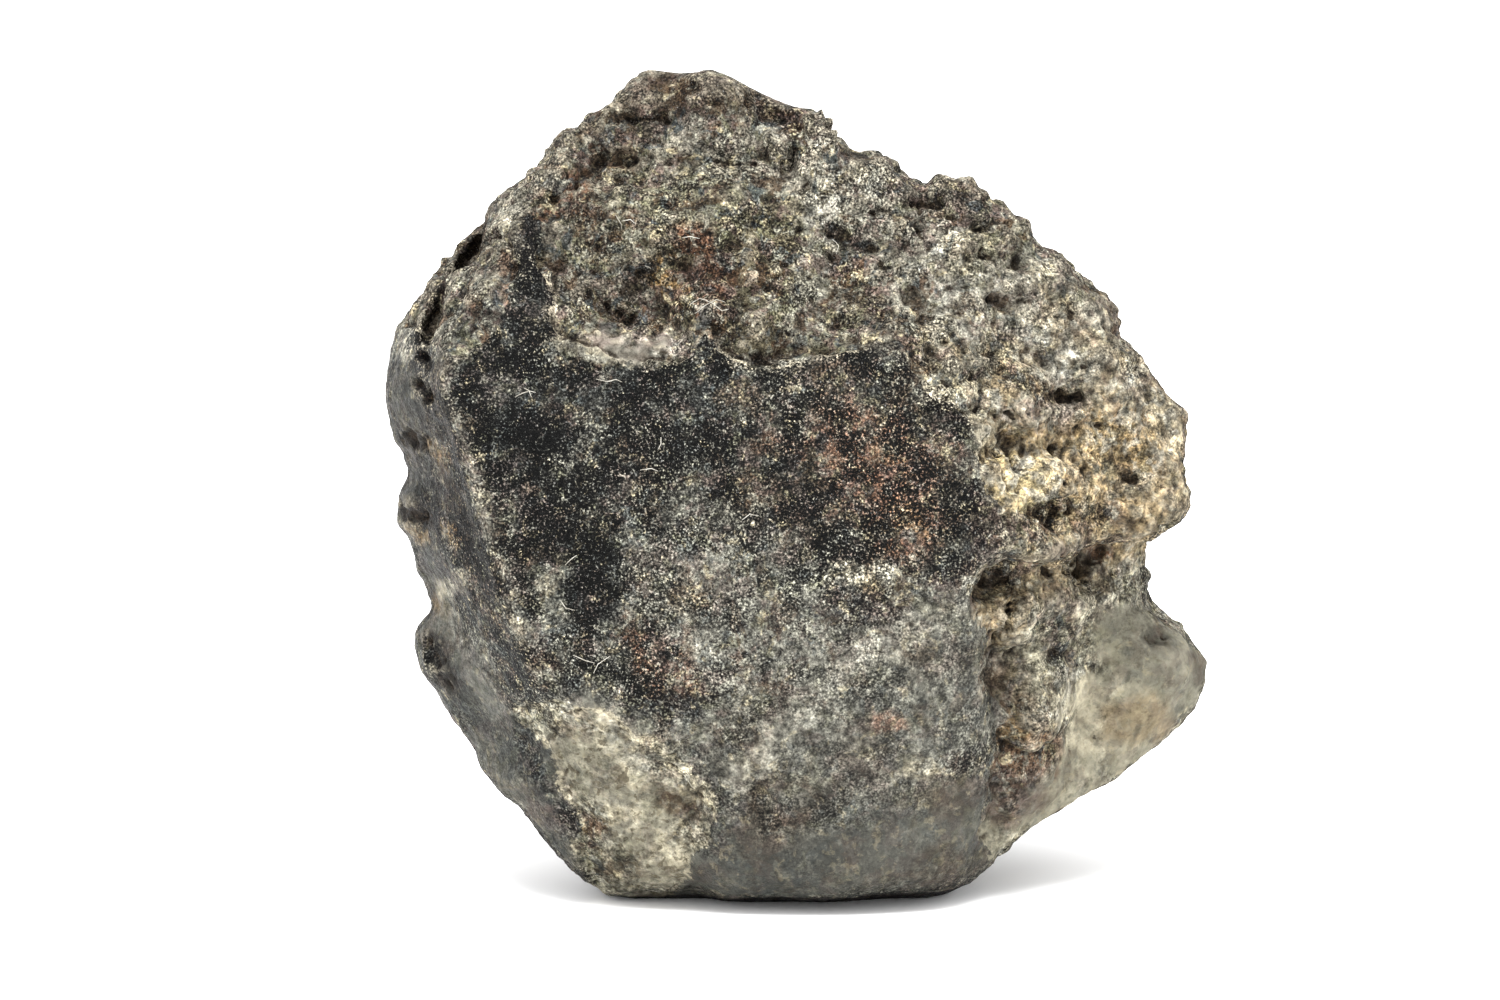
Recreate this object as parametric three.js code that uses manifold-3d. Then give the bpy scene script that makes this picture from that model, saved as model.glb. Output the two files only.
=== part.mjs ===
// A chondrite meteorite: one small stone. Dark fusion crust covers its broad front face, its left
// side and its back. The top and the right of the front are broken open to the granular inside.
//
// Millimetres, +Z up. The broad crusted face looks along -Y, and the origin is in the flat spot
// that the stone rests on.
//
// The form is a field: for any point it tells how far outside (above zero) or inside (below zero)
// the stone it lies. Broad faces and the outline seen from the front bound it, and lumps,
// hollows and roughness are laid on it. A sphere of triangles is then drawn in on that field.

import * as THREE from "three";
import { ImprovedNoise } from "three/addons/math/ImprovedNoise.js";
import { mergeVertices } from "three/addons/utils/BufferGeometryUtils.js";
import Module from "manifold-3d";

const V = (x, y, z) => new THREE.Vector3(x, y, z);
const { clamp, degToRad, euclideanModulo, lerp, mapLinear, radToDeg, smoothstep } = THREE.MathUtils;

// ---- driving dimensions ----------------------------------------------------------------

const HEART = V(-0.2, -0.5, 15.9); // a point inside, from which the whole surface can be seen
const REACH = 27; // further from the heart than any point of the stone
const SPHERE_DETAIL = 19; // splits of each edge of the 20-sided sphere
const CROWDING = V(0.12, -0.34, 0.16); // draws triangles from the plain back to the broken front
const SHARP_EDGE = 1.1; // how widely two faces melt into each other at the front,
const ROUND_EDGE = 2.6; // and at the back
const RIM_CURVATURE = 0.03; // per mm: how fast the stone narrows in front of and behind its rim
const RIM_SWELL = 0.08; // makes up for what the rounding takes off the outline
const RIM_SOFTENS_OVER = 7; // this far from the rim, only the outline's larger turns are left
const STEP_DEPTH = 0.55; // the broken surface lies this far under the crust at its edge
const CHIP_DEPTH = 0.4;
const STEP_WIDTH = 0.6;
const BUMP_FADE = 1.3; // a bump has died away at this many of its radii
const FACE_BEGINS = -0.9; // relief grows between these two distances in from the rim
const FACE_FULL = 0.7;
const BACK_BEGINS_Y = -4; // edges grow rounder between these two depths
const BACK_FULL_Y = 4;
const POCKET_UNEVENNESS = 0.3; // of a pocket's size,
const POCKET_WAVE = 1.1; // over this length on a pocket of size 1
const SETTLING_PASSES = 3;
const SEARCH_STRIDE = 0.4; // steps of the search for the surface along each ray,
const HALVINGS = 14; // and how often the last one is halved
const LEAST_GAIN = 0.01; // an edge is only turned over for more than this
const LEAST_TURN = 0.5; // mm3: a triangle seen from the heart keeps at least this volume under it

// Roughness: [wavelength, height]
const CRUST_WAVES = [[6.5, 0.3], [2.8, 0.08]];
const BROKEN_WAVES = [[5.2, 0.5], [2.9, 0.42], [2, 0.16]];

// ---- broad faces: three points on each -------------------------------------------------

const BODY = {
  crustedFront: [V(-12.5, -10.3, 17.6), V(7.2, -10.3, 19.4), V(7.1, -10.4, 13.4)],
  frontBelowTheCrease: [V(7.2, -10.4, 13.4), V(-2.7, -10.3, 5.4), V(7.2, -7.7, 1)],
  leftSide: [V(-12.6, -10.3, 17.6), V(-10.5, -10.3, 9.8), V(-16.7, -2, 13.2)],
  lowerLeft: [V(-9.9, -9.9, 8.7), V(-8.1, -6.3, 0.4), V(-14.5, -3.4, 5.8)],
  chippedCorner: [V(-10.2, -10, 8.9), V(-3.3, -10.1, 5.2), V(-5.8, -7.6, 0.6)],
  frontUnderside: [V(-7, -7.4, 0.45), V(7.2, -7.5, 0.9), V(0, -5.5, -0.1)],
  upperLeft: [V(-13.9, -10.2, 21.9), V(-10.8, -9.1, 27.6), V(-15.9, -3, 24.8)],
  upperFront: [V(-9.2, -10, 22.9), V(4, -10, 22.9), V(-4, -5.4, 33.8)],
  upperRight: [V(6.2, -10, 21.1), V(4.2, -7.9, 27.6), V(13.6, -4.6, 24.6)],
  rightFront: [V(7.2, -10.2, 19.6), V(8.6, -10, 15.2), V(17, -4.4, 16.6)],
  crown: [V(-5.6, -5.1, 33.9), V(-2.4, -5.3, 33.5), V(-1, 6, 29.2)],
  shoulder: [V(7, -4.8, 29.4), V(-1, 6, 28.9), V(12.5, 4, 21.9)],
  backLeft: [V(-15.6, 0.5, 17.4), V(-8, 9, 20.4), V(-9.5, 9.2, 7.4)],
  backLeftShoulder: [V(-13.4, 1, 23.4), V(-8, 9, 18.9), V(-3, 7, 26)],
  backTop: [V(-1, 5, 28.6), V(-5, 8.6, 22.4), V(4, 9.6, 21.4)],
  back: [V(-6.5, 10.4, 8.4), V(6, 11.8, 9.4), V(0, 11.2, 18.4)],
  backRight: [V(17, 3.2, 9.4), V(8.5, 10.9, 11.4), V(13.4, 5, 18.9)],
  underBack: [V(-6, 4, -0.4), V(7, 4.4, -0.4), V(1, 10.7, 6.6)],
  underBackLeft: [V(-7.6, 3.5, -0.2), V(-14, 1, 6.6), V(-8, 9, 7.2)],
};

// The body is broken away to the right of its lower front, as far up as the brow
const BREAK = {
  lowerRight: [V(7.3, -9.2, 10.8), V(7.2, -6.6, 1), V(10.2, -4.6, 5.6)],
  brow: [V(7, -9.8, 13.7), V(14, -3, 14.2), V(14, 3, 14.2)],
};

// The lobe that is left standing there
const LOBE = {
  lobeFront: [V(10.2, -4.8, 5.6), V(17.6, -0.9, 7.9), V(11.4, -5.8, 12.2)],
  lobeTop: [V(9, -7.6, 12.3), V(15, -2, 11.4), V(14, 4, 12.6)],
  underLobe: [V(8.5, 4, 0.8), V(16.4, 2, 5.8), V(10, 8.8, 6.6)],
};
const INSIDE_LOBE = V(9, 0, 8);

function facing(faces, inside) {
  return Object.values(faces).map((points) => {
    const plane = new THREE.Plane().setFromCoplanarPoints(...points);
    return plane.distanceToPoint(inside) > 0 ? plane.negate() : plane;
  });
}
const bodyFaces = facing(BODY, HEART);
const lobeFaces = facing(LOBE, INSIDE_LOBE);
const [lowerRight, brow] = facing(BREAK, HEART);

// ---- the outline seen from the front, (x, z), clockwise from the crown --------------------

const loop = (points) => points.map(([x, z]) => new THREE.Vector2(x, z));

const OUTLINE = loop([
  [-5.4, 33.0], [-4.2, 33.0], [-2.8, 32.8], [-0.9, 31.9], [0.1, 31.5], [1.4, 31.2], [1.5, 30.7], // crown
  [1.9, 30.1], [3.1, 29.7], [4.2, 28.6], [5.2, 28.5], [6.3, 28.8], [7.4, 28.4], [8.8, 27.2], // shoulder
  [9.3, 26.2], [10.4, 25.6], [12.3, 23.9], [13.1, 22.1], [13.8, 21.1], [14.6, 20.1], // right slope
  [15.1, 19.1], [15.0, 18.1], [15.3, 16.9], [15.4, 15.8], [15.1, 15.0], [14.1, 14.4], // right cheek
  [13.9, 13.6], [14.2, 12.8], [13.9, 11.5], // notch
  [14.4, 10.8], [15.3, 10.5], [15.9, 9.7], [16.7, 8.8], [16.2, 7.4], [16.1, 6.6], [14.8, 5.6], // lobe
  [12.7, 4.2], [11.6, 3.9], [10.3, 3.2], [8.3, 2.1], [7.7, 1.4], [6.9, 0.6], // under the lobe
  [4.5, -3], [-5, -3], [-7.6, 0.2], [-8.7, 0.8], [-9.6, 1.8], [-11.3, 4.0], // rest, chipped corner
  [-12.4, 5.1], [-13.3, 6.2], [-14.1, 7.2], [-15.0, 8.8], [-15.3, 10.0], [-14.8, 11.6], // left foot
  [-15.2, 12.5], [-15.2, 13.6], [-16.0, 15.4], [-15.6, 17.0], [-16.2, 18.5], [-16.4, 19.8], // scallops
  [-16.3, 21.2], [-15.8, 23.0], [-15.1, 23.8], [-14.2, 24.8], [-13.2, 26.4], [-12.6, 26.8], // flake
  [-12.3, 26.5], [-12.2, 27.4], [-11.3, 28.3], [-9.9, 29.7], [-8.6, 30.8], [-7.1, 32.0], [-6.2, 32.8], // left
]);
// The same with only its larger turns
const SOFT_OUTLINE = loop([
  [-4.5, 33], [1, 31], [7, 28.3], [12, 23.9], [15, 18.5], [15.2, 15], [14.2, 12.8], [16.4, 8.6],
  [13, 4.4], [7.5, 1], [6, -3], [-6.6, -3], [-10, 2.4], [-14.6, 8], [-15.6, 15], [-16.3, 20.5],
  [-13.4, 26], [-8.6, 30.7],
]);

// How far back the outline lies: [angle about the heart in degrees from +X towards +Z, y]
const RIM_DEPTHS = [
  [0, -4.5], [45, -5], [90, -5.4], [135, -4.6], [170, -2], [205, -2],
  [230, -4.6], [270, -4], [300, -4], [325, 0], [345, 0.4], [352, -2.5], [360, -4.5],
];

// ---- where the crust ends on the front, (x, z) ------------------------------------------

const CRUST_EDGE = loop([
  [-20, -4], [-20, 29], [-11.5, 28.4], [-10.4, 28], [-9.8, 25], [-9.2, 22.9], [-8, 22.6], [-6.9, 22.1],
  [-4.2, 22.1], [-3.2, 23], [-1.5, 22], [2, 22.6], [3.7, 22.9], [4.6, 21.8], [7.2, 19.8],
  [7.8, 17.6], [8.7, 15.3], [6.8, 13.3], [7.2, 10.9], [7.5, 6.6], [7, -4],
]);
const CRUSTED_BACK_Y = 2; // behind this the crust covers the stone again
const CRUST_RAGGEDNESS = 2.2; // how far that far edge of the crust wanders,
const RAGGED_WAVE = 5; // and over what length

const CHIP_EDGE = loop([
  [-11.2, 8.3], [-9.9, 8.6], [-7.8, 8.3], [-6.2, 7.4], [-4.6, 6.2], [-3.2, 4.8], [-3.6, 2.8],
  [-3.9, -2], [-7, -2], [-7.8, 1.1], [-8.4, 2.8], [-9.6, 4.8], [-10.9, 6.8],
]);
const CHIP_REACH_Y = -5; // the chip ends here, before the back

// ---- lumps, hollows and furrows: place, radius, height (below zero for a hollow) ------------

const BUMPS = [
  // crown and shoulder
  { at: V(-3.8, -6.2, 31.6), radius: 2.9, height: 0.5 },
  { at: V(0.8, -5.8, 30.8), radius: 1.4, height: 0.4 },
  { at: V(6.4, -5.6, 28), radius: 1.9, height: 0.5 },
  { at: V(9.4, -6.2, 25), radius: 2, height: 0.5 },
  // knobs of the right cheek
  { at: V(13.5, -5.8, 19.4), radius: 1.8, height: 0.6 },
  { at: V(14.2, -5.4, 16.6), radius: 1.6, height: 0.5 },
  { at: V(11.9, -6.2, 22.1), radius: 1.8, height: 0.4 },
  { at: V(10.8, -7.6, 17), radius: 1.5, height: 0.5 },
  { at: V(9.6, -8.2, 21.4), radius: 1.8, height: 0.5 },
  { at: V(8.9, -9.2, 15), radius: 1.3, height: 0.6 },
  // blocks under the valley, and the lobe
  { at: V(8.6, -7.7, 11.7), radius: 1.5, height: 0.8 },
  { at: V(11, -5.4, 11.8), radius: 1.6, height: 0.6 },
  { at: V(12.2, -4, 10.2), radius: 1.7, height: -0.6 },
  { at: V(9.5, -6.4, 8.4), radius: 1.9, height: 0.8 },
  { at: V(9.2, -5.6, 4.4), radius: 1.9, height: 0.5 },
  { at: V(11.8, -3.6, 6.6), radius: 1.8, height: -0.6 },
  { at: V(14.4, -2.6, 8.4), radius: 2.2, height: 0.8 },
  // hollows of the broken top
  { at: V(-6.9, -6.4, 30.2), radius: 1.6, height: -0.6 },
  { at: V(-1.2, -5.7, 31.6), radius: 1.1, height: -0.5 },
  { at: V(5, -6.2, 27.7), radius: 1.2, height: -0.6 },
  { at: V(-6.4, -9, 24), radius: 2.6, height: -0.5 },
  { at: V(2.6, -8.4, 26), radius: 2.6, height: -0.3 },
  // hollows of the right cheek
  { at: V(10.5, -7.1, 20), radius: 1.4, height: -0.7 },
  { at: V(8, -8.9, 18.4), radius: 1.4, height: -0.8 },
  { at: V(9.8, -8.2, 15.9), radius: 1.1, height: -0.6 },
  { at: V(12.8, -6, 17.3), radius: 1.1, height: -0.7 },
  // thumb marks on the crust of the left side and the back
  { at: V(-14.8, -5, 17), radius: 2.4, height: -0.6 },
  { at: V(-13.8, -5.2, 11.8), radius: 2.6, height: -0.6 },
  { at: V(-12.4, -6, 6.8), radius: 2.2, height: -0.4 },
  { at: V(-12, 5.4, 17.4), radius: 3.6, height: -0.9 },
  { at: V(-10.4, 8, 10.6), radius: 3.4, height: -0.8 },
  { at: V(-4.6, 11, 15.8), radius: 3.8, height: -0.9 },
  { at: V(2.8, 12, 10.8), radius: 4, height: -1 },
  { at: V(9.8, 9.6, 16), radius: 3.4, height: -0.8 },
  { at: V(-2.4, 8.6, 24), radius: 3.6, height: -0.9 },
  { at: V(6.2, 7.6, 23.8), radius: 3.2, height: -0.8 },
  { at: V(12.8, 5.6, 8.6), radius: 3.2, height: -0.7 },
  { at: V(-4.6, 8.2, 5.2), radius: 3, height: -0.7 },
];

const FURROWS = [
  // the valley that runs in from the notch, under the brow of the right cheek
  { along: [V(14.6, -2.2, 13.4), V(11, -6.2, 13.6), V(7.6, -9.4, 13.4)], radius: 1.1, height: -0.7 },
  // the ledge under the crown
  { along: [V(-8.6, -6.6, 29.7), V(-4.8, -6.9, 30), V(-1.6, -6.6, 30.2)], radius: 0.9, height: -0.4 },
  // the worn edge between the front and the left side stands up a little
  { along: [V(-14.1, -10, 22.4), V(-12.6, -10.3, 17.6), V(-10.5, -10.3, 9.8)], radius: 1.1, height: 0.3 },
];

// Hollows that reach in behind their own lips: centre, half sizes, and turn about the Y axis
const CAVITIES = [
  { at: V(11.6, -4.9, 13.8), half: V(1.2, 1.7, 0.75), turn: -20 }, // under the brow
  { at: V(7.8, -8.6, 13.4), half: V(1.1, 1.3, 0.5), turn: -15 }, // at the end of the valley
  { at: V(-12.9, -5.4, 26), half: V(0.35, 1.5, 1.1), turn: 35 }, // slots behind the flake
  { at: V(-14.2, -6.2, 23.6), half: V(0.4, 1.6, 1.4), turn: 20 },
  { at: V(-0.4, -6.5, 29.5), half: V(0.5, 1.2, 0.8), turn: 20 }, // in the broken top
  { at: V(2.3, -5.8, 29.9), half: V(0.6, 1.1, 0.35), turn: 20 },
];

// ---- the field ------------------------------------------------------------------------

const noise = new ImprovedNoise();

// Perlin noise of a given wavelength, about -1 to 1
function wave(p, wavelength, shift = 0) {
  const k = 1 / wavelength;
  return 1.6 * noise.noise(p.x * k + shift, p.y * k + 2.3 * shift, p.z * k - shift);
}

const waves = (p, layers) =>
  layers.reduce((sum, [wavelength, height], i) => sum + height * wave(p, wavelength, 7.1 * (i + 1)), 0);

// The larger of two values, rounded where they are close
function smoothMax(a, b, rounding) {
  const near = Math.max(rounding - Math.abs(a - b), 0) / rounding;
  return Math.max(a, b) + (near * near * rounding) / 4;
}

const smoothMin = (a, b, rounding) => -smoothMax(-a, -b, rounding);

// Distance to a closed loop of 2-D points: below zero inside it
function distanceToLoop(x, z, points) {
  let nearest = Infinity;
  let inside = false;
  for (let i = 0, j = points.length - 1; i < points.length; j = i++) {
    const a = points[j];
    const b = points[i];
    const ex = b.x - a.x;
    const ez = b.y - a.y;
    const t = clamp(((x - a.x) * ex + (z - a.y) * ez) / (ex * ex + ez * ez), 0, 1);
    nearest = Math.min(nearest, Math.hypot(x - a.x - t * ex, z - a.y - t * ez));
    if (a.y > z !== b.y > z && x < a.x + (ex * (z - a.y)) / ez) inside = !inside;
  }
  return inside ? -nearest : nearest;
}

function rimDepth(p) {
  const angle = euclideanModulo(radToDeg(Math.atan2(p.z - HEART.z, p.x - HEART.x)), 360);
  const next = RIM_DEPTHS.findIndex(([a]) => a >= angle);
  const [a0, y0] = RIM_DEPTHS[Math.max(next - 1, 0)];
  const [a1, y1] = RIM_DEPTHS[next];
  return a1 > a0 ? mapLinear(angle, a0, a1, y0, y1) : y0;
}

const step = (distance) => smoothstep(distance, -STEP_WIDTH / 2, STEP_WIDTH / 2);

// 1 on broken stone, 0 on crust
function broken(p) {
  const pastEdge = distanceToLoop(p.x, p.z, CRUST_EDGE);
  const beforeBack = CRUSTED_BACK_Y - p.y + CRUST_RAGGEDNESS * wave(p, RAGGED_WAVE, 31);
  return step(Math.min(pastEdge, beforeBack));
}

// 1 on the fresh chip at the lower left corner, 0 off it
function chipped(p) {
  return step(Math.min(-distanceToLoop(p.x, p.z, CHIP_EDGE), CHIP_REACH_Y - p.y));
}

// A soft round swelling, 1 in the middle and 0 past its radius
function swell(distance, radius) {
  const t = Math.max(1 - (distance * distance) / (radius * radius), 0);
  return t * t;
}

const segment = new THREE.Line3();
const nearestOnSegment = V(0, 0, 0);
function distanceToPath(p, points) {
  let nearest = Infinity;
  for (let i = 1; i < points.length; i++) {
    segment.set(points[i - 1], points[i]).closestPointToPoint(p, true, nearestOnSegment);
    nearest = Math.min(nearest, nearestOnSegment.distanceTo(p));
  }
  return nearest;
}

function relief(p) {
  let height = lerp(waves(p, CRUST_WAVES), waves(p, BROKEN_WAVES) - STEP_DEPTH, broken(p));
  height -= CHIP_DEPTH * chipped(p);
  for (const bump of BUMPS) height += bump.height * swell(p.distanceTo(bump.at), bump.radius * BUMP_FADE);
  for (const furrow of FURROWS) {
    height += furrow.height * swell(distanceToPath(p, furrow.along), furrow.radius * BUMP_FADE);
  }
  return height;
}

const within = (p, planes, rounding) =>
  planes.reduce((d, plane) => smoothMax(d, plane.distanceToPoint(p), rounding), -REACH);

function field(p) {
  const rounding = lerp(SHARP_EDGE, ROUND_EDGE, smoothstep(p.y, BACK_BEGINS_Y, BACK_FULL_Y));
  const past = smoothMin(lowerRight.distanceToPoint(p), brow.distanceToPoint(p), SHARP_EDGE);
  const brokenAway = smoothMin(past, within(p, lobeFaces, SHARP_EDGE), SHARP_EDGE);
  const block = smoothMax(within(p, bodyFaces, rounding), brokenAway, SHARP_EDGE);

  const fromRim = p.y - rimDepth(p);
  const outline = lerp(
    distanceToLoop(p.x, p.z, OUTLINE),
    distanceToLoop(p.x, p.z, SOFT_OUTLINE),
    smoothstep(Math.abs(fromRim), 0, RIM_SOFTENS_OVER),
  );
  const rim = outline - RIM_SWELL + RIM_CURVATURE * fromRim * fromRim;

  // the outline already holds its own roughness, so relief fades out towards the rim
  const onFace = smoothstep(block - rim, FACE_BEGINS, FACE_FULL);
  return smoothMax(block, rim, rounding) - relief(p) * onFace;
}

// ---- the solid -------------------------------------------------------------------------

// The outermost crossing of the field on the ray from the heart
function surfacePoint(direction) {
  const p = V(0, 0, 0);
  const at = (t) => p.copy(direction).multiplyScalar(t).add(HEART);
  let outer = REACH;
  while (field(at(outer - SEARCH_STRIDE)) > 0) outer -= SEARCH_STRIDE;
  let inner = outer - SEARCH_STRIDE;
  for (let i = 0; i < HALVINGS; i++) {
    const middle = (inner + outer) / 2;
    if (field(at(middle)) > 0) outer = middle;
    else inner = middle;
  }
  return at(inner).clone();
}

function indexed(geometry) {
  geometry.deleteAttribute("normal");
  geometry.deleteAttribute("uv");
  return mergeVertices(geometry, 1e-4);
}

function skin() {
  const ball = indexed(new THREE.IcosahedronGeometry(1, SPHERE_DETAIL));
  const position = ball.attributes.position;
  for (let i = 0; i < position.count; i++) {
    const direction = V(0, 0, 0).fromBufferAttribute(position, i).add(CROWDING).normalize();
    const point = surfacePoint(direction);
    position.setXYZ(i, point.x, point.y, point.z);
  }
  for (let pass = 0; pass < SETTLING_PASSES; pass++) settleDiagonals(ball);
  return ball;
}

// Two triangles that share an edge make a four-sided patch. Where its other diagonal lies nearer
// to the surface, the edge is turned over to it, so that ridges and creases run along edges.
function settleDiagonals(ball) {
  const { position } = ball.attributes;
  const corners = ball.index.array;
  const arm = (i) => V(0, 0, 0).fromBufferAttribute(position, i).sub(HEART);
  const facesOut = (i, j, k) => arm(i).dot(arm(j).cross(arm(k))) > LEAST_TURN;
  const gap = (i, j) => Math.abs(field(arm(i).add(arm(j)).multiplyScalar(0.5).add(HEART)));

  const owner = new Map(); // directed edge -> [triangle, its third corner]
  const settled = new Set();
  for (let t = 0; t < corners.length; t += 3) {
    const [a, b, c] = corners.subarray(t, t + 3);
    for (const [i, j, k] of [[a, b, c], [b, c, a], [c, a, b]]) owner.set(`${i} ${j}`, [t, k]);
  }
  for (const [edge, [t, c]] of [...owner]) {
    const [a, b] = edge.split(" ").map(Number);
    const [u, d] = owner.get(`${b} ${a}`);
    if (a > b || settled.has(t) || settled.has(u) || owner.has(`${c} ${d}`)) continue;
    if (gap(c, d) < gap(a, b) - LEAST_GAIN && facesOut(a, d, c) && facesOut(d, b, c)) {
      corners.set([a, d, c], t);
      corners.set([d, b, c], u);
      settled.add(t).add(u);
    }
  }
  return ball;
}

// An uneven pocket
function cavity({ at, half, turn }) {
  const hollow = indexed(new THREE.IcosahedronGeometry(1, 2));
  const position = hollow.attributes.position;
  for (let i = 0; i < position.count; i++) {
    const p = V(0, 0, 0).fromBufferAttribute(position, i);
    p.multiplyScalar(1 + POCKET_UNEVENNESS * wave(p, POCKET_WAVE, at.x));
    position.setXYZ(i, p.x, p.y, p.z);
  }
  return hollow
    .scale(half.x, half.y, half.z)
    .rotateY(degToRad(turn))
    .translate(at.x, at.y, at.z);
}

function table() {
  const size = 3 * REACH;
  return indexed(new THREE.BoxGeometry(size, size, size)).translate(0, 0, -size / 2);
}

const wasm = await Module();
wasm.setup();

function solid(geometry) {
  return new wasm.Manifold(
    new wasm.Mesh({
      numProp: 3,
      vertProperties: geometry.attributes.position.array,
      triVerts: new Uint32Array(geometry.index.array),
    }),
  );
}

function toGeometry(manifold) {
  const { vertProperties, triVerts } = manifold.getMesh();
  const geometry = new THREE.BufferGeometry();
  geometry.setAttribute("position", new THREE.BufferAttribute(vertProperties, 3));
  geometry.setIndex(new THREE.BufferAttribute(triVerts, 1));
  geometry.computeVertexNormals();
  return geometry;
}

function meteorite() {
  const hollowed = CAVITIES.reduce((stone, hole) => stone.subtract(solid(cavity(hole))), solid(skin()));
  const rested = hollowed.subtract(solid(table()));
  const mesh = new THREE.Mesh(
    toGeometry(rested),
    new THREE.MeshStandardMaterial({ color: 0x5c5850, roughness: 0.85, metalness: 0 }),
  );
  mesh.name = "chondrite_stone";
  return mesh;
}

const part = new THREE.Group();
part.add(meteorite());

export default part;
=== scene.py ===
# %% [markdown]
# # A stony meteorite
#
# The object is one natural stone, about 33 mm wide, that rests on a small flat spot. A dark
# crust melted on its outside in flight, and where the stone broke later the crumbly inside shows.
# The measured stone is loaded first. It fixes the size and the big forms. The finer relief, the
# colours and the finish are then added here, in small steps.

import math
from itertools import product

import bpy
import numpy as np
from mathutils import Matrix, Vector, kdtree


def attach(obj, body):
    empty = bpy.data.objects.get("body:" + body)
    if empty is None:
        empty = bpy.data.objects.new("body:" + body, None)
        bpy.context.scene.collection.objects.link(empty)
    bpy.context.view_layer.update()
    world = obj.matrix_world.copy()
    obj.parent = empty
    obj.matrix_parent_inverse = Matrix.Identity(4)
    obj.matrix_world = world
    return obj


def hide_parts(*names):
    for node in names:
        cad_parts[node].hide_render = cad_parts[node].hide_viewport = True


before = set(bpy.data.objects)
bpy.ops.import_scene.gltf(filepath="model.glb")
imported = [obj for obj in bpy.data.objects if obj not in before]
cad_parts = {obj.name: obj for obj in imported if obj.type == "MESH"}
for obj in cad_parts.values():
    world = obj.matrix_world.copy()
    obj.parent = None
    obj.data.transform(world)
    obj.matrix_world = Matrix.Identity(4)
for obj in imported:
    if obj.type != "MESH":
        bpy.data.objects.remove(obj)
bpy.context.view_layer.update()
measured_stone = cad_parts["chondrite_stone"]

# %% [markdown]
# ## The camera
#
# A close view with a long lens, eight degrees above the table. The picture is taken to be
# 1500 by 1000 pixels, and 60 mm of the stone's surroundings fill its width. The same numbers later
# tell where a point of the stone lands in the picture, so that a mark can be put where it belongs.

# %% Place the camera
MM = 0.001
PICTURE_WIDTH = 1500
PICTURE_HEIGHT = 1000
VIEW_WIDTH = 60.0  # mm, and so are the distance and the aim
DISTANCE = 270.0
AIM = np.array([-1.9, -2.0, 15.7])
LOOKS_DOWN = math.radians(8)
FORWARD = np.array([0, math.cos(LOOKS_DOWN), -math.sin(LOOKS_DOWN)])
UPWARD = np.array([0, math.sin(LOOKS_DOWN), math.cos(LOOKS_DOWN)])
RIGHTWARD = np.array([1.0, 0, 0])
EYE = AIM - DISTANCE * FORWARD
PIXELS_PER_MM = PICTURE_WIDTH / VIEW_WIDTH

bpy.ops.object.camera_add(location=EYE * MM, rotation=(math.pi / 2 - LOOKS_DOWN, 0, 0))
camera = bpy.context.object
camera.name = "camera"
camera.data.sensor_width = 36
camera.data.lens = camera.data.sensor_width * DISTANCE / VIEW_WIDTH
camera.data.clip_start = 0.01
camera.data.clip_end = 20
bpy.context.scene.camera = camera
print("lens", camera.data.lens, "mm at", tuple(round(v, 1) for v in EYE), "mm")

# %% [markdown]
# ## Table and light
#
# The stone stands on a plain white sweep inside a soft white tent. The tent is the world itself,
# plain and bright, so that it also shows in the stone's faint shine. One soft box above, a little
# in front, gives the relief its shape without a hard shadow. Materials and world are made of
# nodes. They are laid in code here, and `tree` is always the node tree that is being worked on.

# %% Helpers that lay nodes
def lay(kind, **settings):
    """Adds a node of this kind with these settings."""
    made = tree.nodes.new(kind)
    for setting, value in settings.items():
        setattr(made, setting, value)
    return made


def plug(socket, value):
    """Links another node's output to the socket, or types a plain value into it."""
    if isinstance(value, bpy.types.NodeSocket):
        tree.links.new(value, socket)
    else:
        socket.default_value = value


def feed(made, **values):
    """Plugs values into a node by the names of its inputs, and gives its outputs."""
    for name, value in values.items():
        plug(made.inputs[name.replace("_", " ")], value)
    return made.outputs


def new_material(name):
    """A material with nodes, its tree and its shader."""
    material = bpy.data.materials.new(name)
    material.use_nodes = True
    return material, material.node_tree, material.node_tree.nodes["Principled BSDF"]


# %% Lay the floor
bpy.ops.mesh.primitive_plane_add(size=6, location=(0, 0, 0))
floor = bpy.context.object
floor.name = "floor"
paper, tree, shader = new_material("white_paper")
feed(shader, Base_Color=(0.92, 0.92, 0.92, 1), Roughness=0.9, Specular_IOR_Level=0.2)
floor.data.materials.append(paper)

# %% Hang the tent and the soft box
TENT_LIGHT = 2.1  # what lights the stone
BACKDROP = 1.0  # what the camera sees behind it
BOX_PLACE = Vector((0.0, -0.12, 0.42))
BOX_SIZE = 0.25
BOX_WATTS = 5.0
world = bpy.context.scene.world or bpy.data.worlds.new("tent")
bpy.context.scene.world = world
world.use_nodes = True
tree = world.node_tree
seen = lay("ShaderNodeLightPath").outputs["Is Camera Ray"]
bright = feed(lay("ShaderNodeMapRange"), Value=seen, To_Min=TENT_LIGHT, To_Max=BACKDROP)["Result"]
feed(tree.nodes["Background"], Color=(1, 1, 1, 1), Strength=bright)

bpy.ops.object.light_add(type="AREA", location=BOX_PLACE)
soft_box = bpy.context.object
soft_box.name = "soft_box"
soft_box.data.size = BOX_SIZE
soft_box.data.energy = BOX_WATTS
soft_box.rotation_euler = (Vector(AIM * MM) - BOX_PLACE).to_track_quat("-Z", "Y").to_euler()
bpy.context.scene.view_settings.view_transform = "Standard"

# %% [markdown]
# ## A skin to work on
#
# The measured stone has large flat facets, and it must not be touched. A copy of it is remeshed
# into a fine even net, then smoothed until the facets are gone. The work is done at a
# thousand times life size, so that one unit is one millimetre, and shrunk back at the end.

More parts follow.
